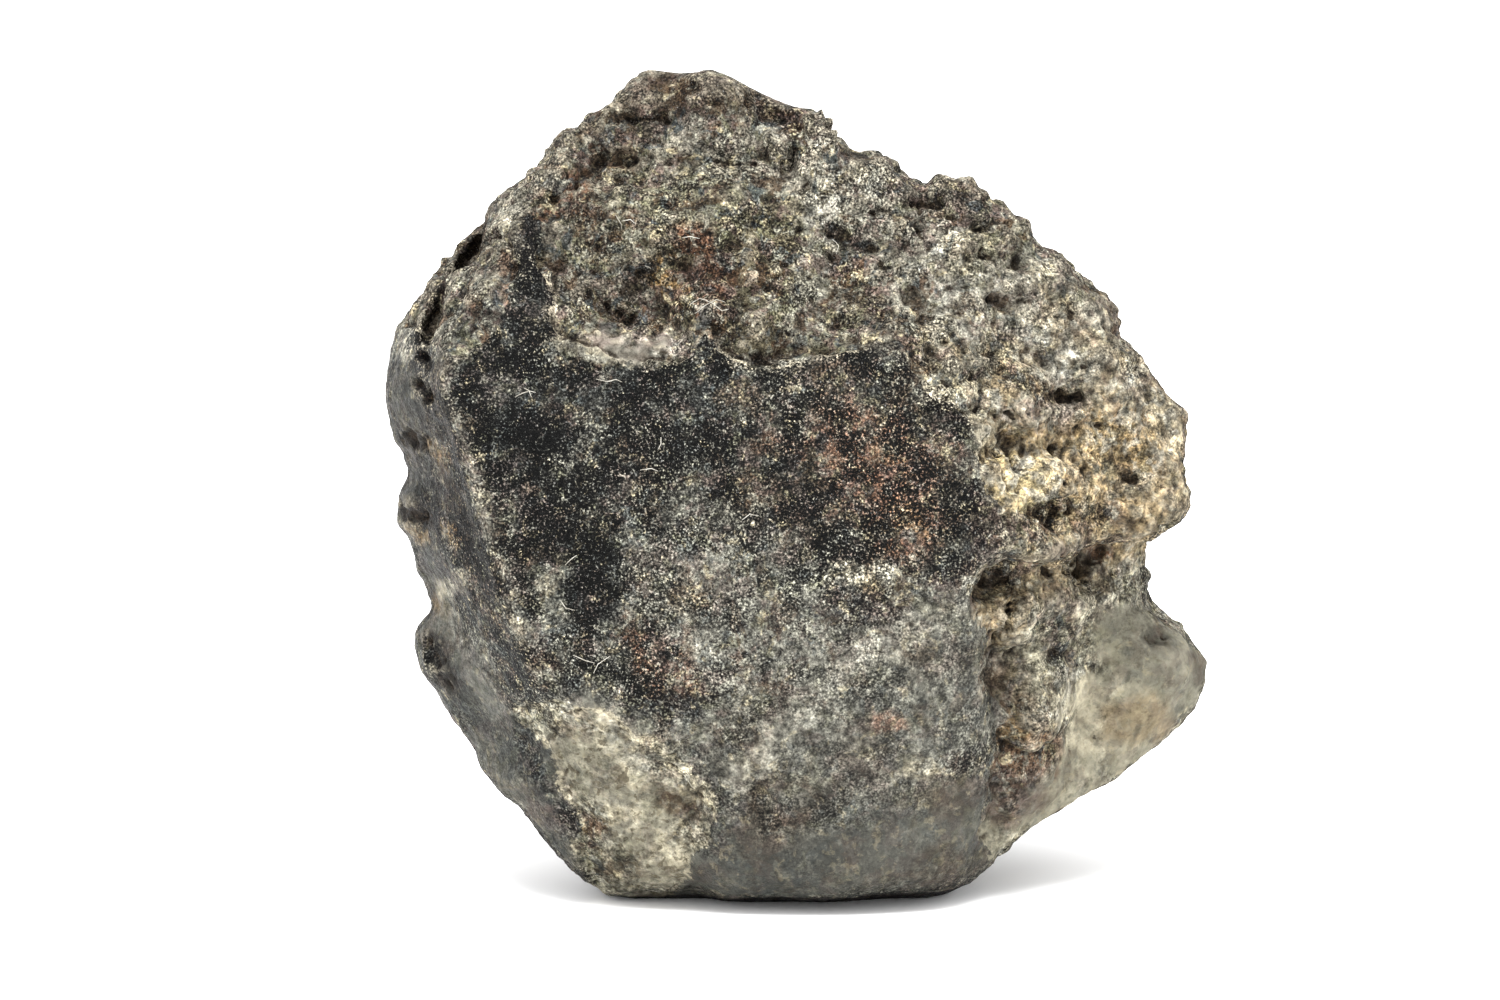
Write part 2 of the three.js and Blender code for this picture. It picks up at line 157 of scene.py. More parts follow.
# %% Helpers that work like a hand in Blender
def pick_only(piece):
    """Selects one object and makes it the active one."""
    bpy.ops.object.select_all(action="DESELECT")
    piece.select_set(True)
    bpy.context.view_layer.objects.active = piece


def apply_modifier(piece, kind, name, **settings):
    """Adds a modifier with these settings and applies it at once."""
    pick_only(piece)
    modifier = piece.modifiers.new(name, kind)
    for setting, value in settings.items():
        setattr(modifier, setting, value)
    bpy.ops.object.modifier_apply(modifier=name)


def read_rows(items, what):
    """Three numbers of each item, such as every vertex's place, as rows of an array."""
    flat = np.empty(len(items) * 3, np.float32)
    items.foreach_get(what, flat)
    return flat.reshape(-1, 3).astype(float)


def read_points(piece):
    """Where every vertex of the piece is."""
    return read_rows(piece.data.vertices, "co")


def read_normals(piece):
    """The direction that every vertex faces."""
    return read_rows(piece.data.vertex_normals, "vector")


def write_points(piece, points):
    """Moves every vertex of the piece to its new place."""
    piece.data.vertices.foreach_set("co", points.astype(np.float32).ravel())
    piece.data.update()


# %% Remesh and smooth a copy of the stone
NET = 0.125  # mm between the points
skin = bpy.data.objects.new("stone_skin", measured_stone.data.copy())
bpy.context.scene.collection.objects.link(skin)
skin.data.materials.clear()
write_points(skin, read_points(skin) / MM)
pick_only(skin)
bpy.ops.object.mode_set(mode="EDIT")
bpy.ops.mesh.select_all(action="SELECT")
bpy.ops.mesh.remove_doubles(threshold=0.001)
bpy.ops.object.mode_set(mode="OBJECT")
apply_modifier(skin, "REMESH", "even_net", mode="VOXEL", voxel_size=NET)
apply_modifier(skin, "SMOOTH", "facets_off", factor=0.5, iterations=26)
print("skin:", len(skin.data.vertices), "points")

# %% [markdown]
# ## Where things are
#
# Each point of the skin is asked where it lands in the picture and whether the camera sees
# it. Outlines drawn in picture pixels then divide the stone into its zones: crust, broken ground,
# chip, tan cheek and lobe. Behind, where no picture tells, the crust comes back with a ragged edge.

# %% Project the points and find the ones in view
points = read_points(skin)
normals = read_normals(skin)


def in_picture(places):
    """The pixel column and row of each place, and how far from the camera it is."""
    from_eye = places - EYE
    depth = from_eye @ FORWARD
    column = PICTURE_WIDTH / 2 + from_eye @ RIGHTWARD / depth * DISTANCE * PIXELS_PER_MM
    row = PICTURE_HEIGHT / 2 - from_eye @ UPWARD / depth * DISTANCE * PIXELS_PER_MM
    return column, row, depth


def soft_step(low, high, value):
    """0 below low, 1 above high, and a smooth rise between."""
    part = np.clip((value - low) / (high - low), 0, 1)
    return part * part * (3 - 2 * part)


column, row, depth = in_picture(points)
TILE = 7  # pixels
TILES_ACROSS = 1000
FAR_AWAY = 1e9
tile = (column / TILE).astype(int) + TILES_ACROSS * (row / TILE).astype(int)
nearest = np.full(tile.max() + 1, FAR_AWAY)
np.minimum.at(nearest, tile, depth)
behind_nearest = depth - nearest[tile]
in_view = soft_step(1.6, 0.8, behind_nearest) * soft_step(0.05, -0.1, normals @ FORWARD)
print("in view:", round(float(in_view.mean()), 3), "of the points")


# %% Random numbers that stay the same in every run
def scramble(x, y, z, seed):
    """One random whole number below 2**32 for each cell of a grid."""
    mixed = (x * 0x1F123BB5 ^ y * 0x5E3779B1 ^ z * 0x45EBCA6B ^ seed * 0x27D4EB2F) & 0xFFFFFFFF
    mixed = (mixed ^ mixed >> 15) * 0x2C1B3C6D & 0xFFFFFFFF
    mixed = (mixed ^ mixed >> 12) * 0x297A2D39 & 0xFFFFFFFF
    return mixed ^ mixed >> 15


TEN_BITS = 1023


def waves(places, size, seed):
    """Random values from about -1 to 1 that rise and fall smoothly over `size` mm."""
    cell = places / size
    corner = np.floor(cell).astype(np.int64)
    part = cell - corner
    ease = part * part * part * (part * (part * 6 - 15) + 10)
    total = np.zeros(len(places))
    for x, y, z in product((0, 1), repeat=3):
        mixed = scramble(corner[:, 0] + x, corner[:, 1] + y, corner[:, 2] + z, seed)
        slope = ((mixed & TEN_BITS) - TEN_BITS / 2) * (part[:, 0] - x)
        slope += ((mixed >> 10 & TEN_BITS) - TEN_BITS / 2) * (part[:, 1] - y)
        slope += ((mixed >> 20 & TEN_BITS) - TEN_BITS / 2) * (part[:, 2] - z)
        share = np.where(x, ease[:, 0], 1 - ease[:, 0])
        share = share * np.where(y, ease[:, 1], 1 - ease[:, 1])
        total += share * np.where(z, ease[:, 2], 1 - ease[:, 2]) * slope
    return total / (TEN_BITS / 2) * 1.7


def swells(places, size, seed):
    """Waves folded at zero: round swells with sharp creases between them."""
    return np.abs(waves(places, size, seed)) * 2.6 - 1


def scattered(places, spacing, seed):
    """The distance to the nearest of many scattered spots, in mm, and that spot's own number."""
    corner = np.floor(places / spacing).astype(np.int64)
    nearest_spot = np.full(len(places), FAR_AWAY)
    number = np.zeros(len(places))
    for step in product((-1, 0, 1), repeat=3):
        spot_cell = corner + step
        mixed = scramble(*spot_cell.T, seed)
        bits = [mixed & TEN_BITS, mixed >> 10 & TEN_BITS, mixed >> 20 & TEN_BITS]
        spot = (spot_cell + np.stack(bits, 1) / TEN_BITS) * spacing
        away = np.linalg.norm(spot - places, axis=1)
        closer = away < nearest_spot
        nearest_spot = np.where(closer, away, nearest_spot)
        number = np.where(closer, (mixed * 0x9E37 >> 7 & TEN_BITS) / TEN_BITS, number)
    return nearest_spot, number


def lumps(places, spacing, seed):
    """Packed round lumps about `spacing` mm apart: 1 on their tops, below -1 in the creases."""
    away, _ = scattered(places, spacing, seed)
    return np.maximum(1 - 3 * (away / spacing) ** 2, -1.3)


# %% Distance to a drawn outline
def distance_to_line(x, y, corners):
    """How far each pixel place is from a line through the corners."""
    best = np.full(len(x), FAR_AWAY)
    for (ax, ay), (bx, by) in zip(corners[:-1], corners[1:]):
        long_x, long_y = bx - ax, by - ay
        length = max(long_x * long_x + long_y * long_y, 1e-9)
        along = np.clip(((x - ax) * long_x + (y - ay) * long_y) / length, 0, 1)
        best = np.minimum(best, np.hypot(x - ax - along * long_x, y - ay - along * long_y))
    return best


def depth_inside(x, y, corners):
    """Millimetres inside a closed outline, and less than zero outside it."""
    closed = corners + corners[:1]
    inside = np.zeros(len(x), bool)
    for (ax, ay), (bx, by) in zip(closed[:-1], closed[1:]):
        crosses = (ay > y) != (by > y)
        inside ^= crosses & (x < (bx - ax) * (y - ay) / (by - ay + 1e-12) + ax)
    return np.where(inside, 1, -1) * distance_to_line(x, y, closed) / PIXELS_PER_MM


# %% Read lines that are written as text
def read_line(text):
    """The corners of a line, from text such as "12,30 14,35"."""
    return [tuple(int(number) for number in corner.split(",")) for corner in text.split()]


def read_table(text):
    """Rows of names and numbers, each ending with the corners of its line."""
    rows = []
    for row in text.strip().splitlines():
        words = [word for word in row.split() if "," not in word]
        values = [word if word[0].isalpha() else float(word) for word in words]
        line = read_line(" ".join(row.split()[len(words):]))
        rows.append((*values, line))
    return rows


# %% The zones of the stone, as corners in picture pixels
CRUST_OUTLINE = read_line("""
300,1100 300,330 395,318 425,340 440,350 462,352 480,344 494,332 503,316 507,298 511,282 519,270
521,258 517,244 521,226 528,216 536,224 538,242 535,262 545,280 552,302 557,322 562,340 578,350
596,354 606,360 622,364 640,368 655,368 672,366 684,366 692,350 700,338 708,333 715,345 728,360
745,366 770,368 800,364 830,358 852,351 880,344 898,346 908,360 916,374 918,392 930,402 952,410
972,416 976,430 976,448 981,471 988,492 997,514 1010,536 1008,552 995,560 978,574 970,590 975,615
985,640 975,665 985,690 1002,715 998,745 984,770 990,800 976,830 988,860 985,880 1010,1100
""")
CHIP_OUTLINE = read_line("""
512,708 530,704 548,703 566,706 584,711 604,712 622,726 638,734 656,742 672,752 684,764 696,778
708,790 720,800 714,812 709,826 706,842 695,856 686,872 677,890 660,930 600,930 588,880 576,850
582,826 574,800 562,776 548,756 536,738 522,724
""")
CHEEK_OUTLINE = read_line("""
905,350 940,330 985,320 1030,300 1070,290 1130,360 1230,420 1230,540 1150,560 1125,585 1040,600
1010,640 985,620 970,590 1010,555 1022,530 1005,500 985,440 950,412 918,400
""")
LOBE_OUTLINE = read_line("""
1130,560 1180,580 1240,640 1240,720 1150,790 1040,840 985,900 975,850 985,790 1000,740 1010,690
1020,650 1060,620 1090,590
""")
print("crust outline:", len(CRUST_OUTLINE), "corners, chip:", len(CHIP_OUTLINE))

# %% [markdown]
# ## Borders, calm places and lips
#
# A border is kept as a distance in millimetres instead of a mask, so that the material can draw
# its crisp ragged edge later. Calm strokes mark ground that is smoother than the rest, or only
# quieter in its grain. Lips mark where the crust ends in a thick edge. A stroke would be
# stretched where the surface turns away from the camera, so strokes fade out there.

# %% Calm places: how much smoother, how much quieter, width in pixels, corners
CALM_STROKES = read_table("""
0.75 0.1 46  640,110 690,95 760,110
0.75 1 62  1125,640 1180,670 1130,730
0.6 0.9 40  1095,690 1085,740 1040,810
0.6 0.4 30  1040,800 1005,850
0 0.84 80  710,880 880,860 960,830
0 0.62 120  700,810 850,765 950,680
0 0.4 90  1010,300 1090,360
0 0.25 60  470,320 520,220 600,140
0.95 0.8 24  606,350 640,352 664,346
0.7 0.6 26  988,440 998,478 1020,492
0 0.75 36  400,380 412,500 440,620 470,700 510,770 560,850
0 0.92 70  580,750 640,800 660,870
0.2 0.62 44  1160,400 1175,500 1100,560 1000,600 1010,680
0 0.55 60  1020,440 1110,480 1080,340
""")

# %% Lips of the crust: strength, width in pixels, corners
LIPS = read_table("""
0.6 14  546,280 552,305 560,340
1 16  562,342 580,352 600,360
0.4 14  606,361 622,366 640,369 655,368 672,364
0.9 14  722,358 745,367 770,369 800,366 830,360 850,352
0.8 16  918,392 952,410 976,430
1 20  976,430 977,448 984,471 992,491 1002,513 1014,536
0.5 14  1012,552 995,560 978,574
""")

# %% Measure how far each point is from the borders
FARTHEST = 3.0  # mm, and so are the next three
CHIP_ENDS = -3.5
CRUST_FADE = 0.12
CHIP_FADE = 0.1
behind = points[:, 1]
back_begins = 5.0 + 4.5 * waves(points, 6.5, 6) + 2.4 * waves(points, 3.1, 1)
back_begins = np.maximum(back_begins, 3.0) + 0.8 * waves(points, 1.2, 2) + 0.3 * waves(points, 0.5, 9)
fray = 0.22 * waves(points, 1.9, 5) + 0.18 * waves(points, 0.9, 3) + 0.08 * waves(points, 0.4, 4)
drawn_crust = depth_inside(column, row, CRUST_OUTLINE) + fray
drawn_crust = np.where(behind < back_begins + 2, drawn_crust, -FARTHEST)
crust_mm = np.maximum(drawn_crust, (behind - back_begins) * 0.8)
crust_mm = np.clip(crust_mm, -FARTHEST, FARTHEST)
chip_mm = np.clip(depth_inside(column, row, CHIP_OUTLINE) + fray, -FARTHEST, FARTHEST)
chip_mm = np.where(behind < CHIP_ENDS, chip_mm, -FARTHEST)
crust = soft_step(-CRUST_FADE, CRUST_FADE, crust_mm)
chip = soft_step(-CHIP_FADE, CHIP_FADE, chip_mm)
wander = 1.3 * waves(points, 2.2, 10) + 0.6 * waves(points, 0.9, 17)
cheek = soft_step(-0.5, 0.7, depth_inside(column, row, CHEEK_OUTLINE) + wander)
cheek *= soft_step(5, 1, behind + 2 * wander)
lobe = soft_step(-0.4, 0.4, depth_inside(column, row, LOBE_OUTLINE) + 0.5 * wander)
lobe *= soft_step(9, 5, behind)
print("crust share", round(float(crust.mean()), 3), "chip share", round(float(chip.mean()), 3))

# %% Find the calm places and the lips
WANDER_PIXELS = 14
CHIP_GRAIN = 0.17  # how much of the quiet the chip sheds
towards = soft_step(0.05, 0.42, -normals @ FORWARD)
calm, quiet, lip = np.zeros(len(points)), np.zeros(len(points)), np.zeros(len(points))
for smoother, quieter, width, line in CALM_STROKES:
    away = distance_to_line(column, row, line) + WANDER_PIXELS * wander
    near_line = soft_step(width * 1.5, width * 0.2, away) * soft_step(4, 0, behind + 2 * wander)
    calm = np.maximum(calm, smoother * near_line)
    quiet = np.maximum(quiet, quieter * near_line * towards)
quiet *= 1 - CHIP_GRAIN * chip
for strength, width, line in LIPS:
    near_line = soft_step(width * 1.4, width * 0.5, distance_to_line(column, row, line))
    lip = np.maximum(lip, strength * near_line * soft_step(2, 0, behind))
print("calm", round(float(calm.mean()), 3), "quiet", round(float(quiet.mean()), 3))

# %% [markdown]
# ## Relief from noise
#
# Crust and broken ground differ most in their relief. The crust is nearly smooth. The
# broken ground is crumbly: lumps and grains of every size from two millimetres down, with
# creases and small pits between them. The Displace modifier would push all points by one
# texture; here each zone mixes swells, waves and pits of its own, so the points are moved in code,
# each along the direction that the smooth skin faces, which keeps the surface from folding.

# %% A helper that averages over neighbours
edges = np.empty(len(skin.data.edges) * 2, np.int32)
skin.data.edges.foreach_get("vertices", edges)
first, second = edges[::2], edges[1::2]
neighbours = np.bincount(edges, minlength=len(points))


def neighbours_mean(values, rings):
    """The values averaged over each point and its neighbours, this many times."""
    for _ in range(rings):
        summed = np.empty_like(values)
        for axis in range(3):
            summed[:, axis] = np.bincount(first, values[second, axis], len(points))
            summed[:, axis] += np.bincount(second, values[first, axis], len(points))
        values = (values + summed) / (1 + neighbours)[:, None]
    return values


OUTWARD_RINGS = 40
outward = neighbours_mean(normals, OUTWARD_RINGS)
outward /= np.linalg.norm(outward, axis=1)[:, None]
print("neighbours of a point:", round(float(neighbours.mean()), 1))

# %% Raise and sink each zone by its own mixture
PIT_DEPTH = 0.42  # times the pit's own size
HOLE_DEPTH = 0.16  # mm, and so are the next two
HOLE_SIZE = 0.26
KNOB_HEIGHT = 0.15
broken = (1 - crust) * (1 - chip)
standing = soft_step(0.05, 0.5, points[:, 2])
warped = points + 0.32 * np.stack([waves(points, 1.1, seed) for seed in (31, 32, 33)], 1)
warped += 0.10 * np.stack([waves(points, 0.4, seed) for seed in (34, 35, 36)], 1)

knobbly = 0.3 + 0.7 * soft_step(-0.35, 0.4, waves(points, 3.0, 48))
crumbly = 0.22 * waves(warped, 2.1, 41) + 0.20 * lumps(warped, 1.6, 42) * knobbly
crumbly += 0.105 * lumps(warped, 0.8, 43) * knobbly + 0.07 * waves(warped, 0.6, 47)
crumbly += 0.045 * lumps(points, 0.45, 44) + 0.03 * waves(points, 0.28, 45)
pit_away, pit_number = scattered(warped, 1.5, 51)
pit_size = 0.22 + 0.38 * pit_number
pits = (pit_number > 0.6) * soft_step(1.0, 0.35, pit_away / pit_size) * pit_size
crumbly -= PIT_DEPTH * pits
hole_away, hole_number = scattered(warped, 0.8, 52)
crumbly -= HOLE_DEPTH * (hole_number > 0.6) * soft_step(1.0, 0.3, hole_away / HOLE_SIZE)
knob_away, knob_number = scattered(warped, 1.1, 53)
knob_size = 0.25 + 0.25 * knob_number
crumbly += KNOB_HEIGHT * (knob_number > 0.55) * soft_step(1.0, 0.2, knob_away / knob_size)

melted = 0.05 * waves(points, 1.7, 61) + 0.03 * waves(points, 0.7, 62)
melted += 0.022 * swells(points, 0.4, 63) + 0.012 * waves(points, 0.21, 64)
chipped = 0.07 * waves(warped, 1.0, 71) + 0.05 * swells(warped, 0.55, 72)
chipped += 0.03 * waves(points, 0.28, 73)
crumbly *= 1 - calm
relief = (crumbly * broken + melted * crust * (1 - chip) + chipped * chip) * standing
write_points(skin, points + normals * relief[:, None])
print("relief", np.percentile(relief, [1, 50, 99]).round(3))

# %% [markdown]
# ## Relief cut one by one
#
# The pits, slots, cracks and ledges that give this stone its face are cut one by one. Each
# cut is a short line with a width in pixels and a depth in millimetres, and a depth below zero
# raises a ridge. Only points that the camera sees are cut, so nothing is cut on the far side.
# A few wider touches first bring the stone's outline to its place.

# %% The cuts: depth in mm, width in pixels, corners
CUTS = read_table("""
0.5 7  418,384 428,398
0.5 6  422,354 427,364
0.35 8  611,116 632,122 650,123 662,118
0.45 10  600,162 618,160 640,158
0.2 5  640,158 680,163 720,163 754,163
0.5 11  555,198 564,192 571,182
0.5 9  600,302 615,312 630,318
0.3 12  752,102 771,114 795,120
0.22 7  654,88 682,88 702,98 724,103
0.5 9  920,207 930,203 939,199
0.5 7  911,228 921,232
0.35 10  985,252 1000,262 1018,262
0.45 15  990,448 1005,444 1020,452
0.4 5  993,415 995,418
0.4 5  1011,415 1013,418
0.45 8  1060,398 1070,400 1078,398
0.45 10  1056,446 1064,450 1070,457
0.35 7  1086,471 1089,476
0.4 9  1124,476 1134,477
0.4 12  1028,508 1048,514 1070,506
0.8 12  1072,568 1082,574
0.5 6  1044,572 1053,573
0.7 6  1014,602 1013,618 1010,632 998,640
0.3 10  1150,636 1160,637
-0.2 7  563,345 580,352 603,356
-0.15 6  639,366 660,364 672,361
-0.15 6  726,363 748,366 768,367
0.12 8  725,352 748,356 770,357 800,353 840,344
-0.35 12  982,431 990,455 997,478 1004,500 1016,512
-0.25 16  994,470 1010,492 1030,498
-0.45 18  812,122 824,128
-0.35 11  770,142 782,147
-0.35 11  853,172 863,178
-0.4 16  956,252 968,246
-0.42 22  612,350 636,350 658,344
-0.35 14  985,245 1010,235 1035,232
-0.3 13  950,366 978,364
-0.3 14  925,396 950,400 975,392
-0.3 14  1025,416 1050,414 1072,416
-0.15 20  1018,492 1044,486
-0.25 8  637,736 658,746 677,760 696,780 714,800
0.12 12  665,800 680,808 690,800
0.3 9  409,436 424,442
0.3 9  404,512 424,516
0.3 8  434,642 440,660
0.25 7  443,676 452,684
0.25 14  586,178 600,190
0.3 12  740,290 756,300
0.3 11  836,232 850,240
0.3 12  868,250 884,262
0.3 12  1000,300 1018,306
0.3 12  1052,300 1068,312
0.3 12  1030,350 1046,362
0.25 10  1100,420 1112,430
0.25 10  1140,500 1152,508
""")

# %% The touches at the outline: depth in mm, width in pixels, corners
OUTLINE_TOUCHES = read_table("""
-0.35 40  655,78 705,82
0.45 16  850,124 862,140
0.45 16  832,116 846,128
0.12 18  1108,316 1126,330
0.2 16  398,458 404,474
-0.25 24  424,640 428,665
-0.25 14  414,500 408,520
0.25 16  424,586 426,604
-0.3 22  490,770 505,785
0.35 14  905,166 925,178
-0.45 46  1026,690 1032,725 1020,770
-0.4 22  1176,418 1184,436
""")

# %% A stroke with a wavering edge
REACH = 1.7  # in widths of the stroke, as are the next two
WAVER = 0.45
FINE_WAVER = 0.20


def near_stroke(width, line, seed, core=0.35):
    """The points in view near a drawn line, and how strongly it works on each, 0 to 1."""
    first, last = np.min(line, axis=0) - width * REACH, np.max(line, axis=0) + width * REACH
    near = np.nonzero(
        (in_view > 0)
        & (column > first[0]) & (column < last[0])
        & (row > first[1]) & (row < last[1])
    )[0]
    away = distance_to_line(column[near], row[near], line)
    away += width * WAVER * waves(points[near], 0.025 * width + 0.15, seed)
    away += width * FINE_WAVER * waves(points[near], 0.010 * width + 0.15, seed + 1)
    return near, soft_step(width * 1.1, width * core, away) * in_view[near] * towards[near]


# %% Touch up the outline and make the cuts
points = read_points(skin)
for touch_depth, width, line in OUTLINE_TOUCHES:
    strength = soft_step(width * 1.3, 0, distance_to_line(column, row, line))
    strength *= soft_step(8, 5, points[:, 1])
    points -= outward * (touch_depth * strength)[:, None]
for cut_depth, width, line in CUTS:
    near, strength = near_stroke(width, line, 7)
    strength *= 0.25 + 0.75 * soft_step(-0.5, 0.35, waves(points[near], 0.6, 8))
    strength *= soft_step(0.05, 0.4, -outward[near] @ FORWARD)
    points[near] -= outward[near] * (cut_depth * strength)[:, None]
write_points(skin, points)
print(len(CUTS), "cuts made")

# %% Sharpen the ledge of the crust and the rim of the chip
def band(away, middle, width):
    """1 at this distance from a border, fading to 0 on both sides."""
    return np.exp(-(((away - middle) / width) ** 2))


ledge = (0.03 + 0.09 * lip) * band(crust_mm, 0.12, 0.14)
ledge -= (0.09 + 0.04 * lip) * band(crust_mm, -0.26, 0.24)
rim = 0.03 * band(chip_mm, -0.12, 0.12) - 0.08 * band(chip_mm, 0.16, 0.16)
sharpened = (ledge * (1 - chip) + rim) * standing
points = read_points(skin) + normals * sharpened[:, None]
points[:, 2] = np.maximum(points[:, 2], 0)
print("sharpened by", np.percentile(sharpened, [1, 99]).round(3), "mm")

# %% [markdown]
# ## The foot
#
# A real stone touches the table only here and there, and a thin line of deep shadow shows under
# it. Here the lowest half millimetre is drawn in a little, less on the left, with a wavering top
# edge, and later painted near-black as painted shade. The flat spot that the stone rests on stays.

# %% Draw the foot in
GAP_HEIGHT = 0.60  # mm, and so are the rest
GAP_DEPTH = 0.35
FOOT_MIDDLE = (0.0, 0.3)
FOOT_RADIUS = 5.0
gap_height = GAP_HEIGHT * (0.3 + 0.7 * soft_step(-7.5, 0, points[:, 0]))
gap_height *= 1 + 0.25 * waves(points, 3.0, 91) + 0.15 * waves(points, 0.9, 92)
low = np.clip(1 - points[:, 2] / gap_height, 0, 1)
# where the drawn-in foot gets its painted shade
in_gap = soft_step(0.0, 0.18, low)
from_middle = points[:, :2] - FOOT_MIDDLE
reach = np.linalg.norm(from_middle, axis=1)
pull = GAP_DEPTH * low ** 0.6 * np.minimum(reach / FOOT_RADIUS, 1) / np.maximum(reach, 0.01)
points[:, :2] -= from_middle * pull[:, None]
write_points(skin, points)
print("points in the gap:", int((in_gap > 0).sum()))

# %% [markdown]
# ## Hollows and edges
#
# Hollows are painted darker as painted shade, and edges paler, partly as wear and partly as
# painted light. To know which is which, each point is compared with the average of its neighbours,
# some rings wide: a point that lies under that average is in a hollow, and one that stands over it
# is on an edge.

# %% Measure hollows and edges
facing = read_normals(skin)
FINE_RINGS = 6
WIDE_RINGS = 30
near_mean = neighbours_mean(points, FINE_RINGS)
far_mean = neighbours_mean(near_mean, WIDE_RINGS)
fine_hollow = ((near_mean - points) * facing).sum(1)
wide_hollow = ((far_mean - points) * facing).sum(1)
print("fine", np.percentile(fine_hollow, [2, 50, 98]).round(3))
print("wide", np.percentile(wide_hollow, [2, 50, 98]).round(3))

# %% [markdown]
# ## Colours in strokes
#
# Under the fine grain the stone has patches of its own colours: blue-black crust, rust, cream
# dust, olive and purple-brown ground. They are brushed on as soft strokes, like thin washes, from
# a small box of colours. Most dark strokes sit in pits, slots and holes and under the crown's
# overhang, and are painted shade there, as is the near-black band along the drawn-in foot. Crust,
# broken ground and chip each get a wash layer of their own, so that no colour runs over a border.
# The second half of the box is for the material.

# %% The box of colours, as they look on screen (0 to 255)
# Painted light in the box: the near-black shade colour and the two hollow darks are painted shade, the
# glint colour is a painted highlight, and the two pale edge colours are partly wear and partly painted
# light.
ON_SCREEN = {
    "crust": (91, 90, 83), "blue_black": (67, 69, 67), "grey": (122, 121, 112), "brown": (88, 76, 62),
    "broken": (136, 129, 115), "purple": (108, 96, 90), "olive": (112, 110, 88), "tan": (161, 143, 112),
    "cream": (228, 218, 188), "rust": (126, 95, 76), "orange": (136, 112, 78), "pale": (190, 186, 170),
    "chip": (157, 152, 133), "lobe": (166, 161, 140), "dark": (42, 37, 32), "ochre": (198, 170, 124),
    "mauve": (174, 161, 150), "ink": (40, 42, 43), "butter": (222, 200, 152), "shade": (24, 21, 18),
    "plum": (108, 92, 86), "moss": (112, 112, 88), "slate": (72, 80, 82), "umber": (84, 66, 50),
    "sand": (186, 174, 142), "soot": (46, 42, 38), "ash": (158, 157, 142), "clast": (206, 204, 190),
    "speck": (96, 88, 72), "dust": (156, 154, 140), "chip_rim": (214, 204, 176), "lip": (206, 196, 172),
    "wear_and_light": (168, 160, 142), "hollow_shade": (66, 56, 46), "scuff_and_light": (176, 168, 148), "crease_shade": (50, 43, 36),
    "vein": (168, 166, 152), "painted_glint": (190, 189, 184), "pore": (34, 31, 30),
    "lint_grey": (176, 170, 156), "lint_white": (226, 222, 210),
}
LAMPS = 2.1
SHINE = 0.008
DARKEST = 0.004


def pigment(screen_colour):
    """The pigment that looks like this under the lamps: linear light with the shine taken off."""
    share = np.array(screen_colour) / 255
    light = np.where(share <= 0.04045, share / 12.92, ((share + 0.055) / 1.055) ** 2.4)
    return np.clip((light - SHINE) / LAMPS, DARKEST, 1)


COLOURS = {name: pigment(screen_colour) for name, screen_colour in ON_SCREEN.items()}
print(len(COLOURS), "colours in the box")
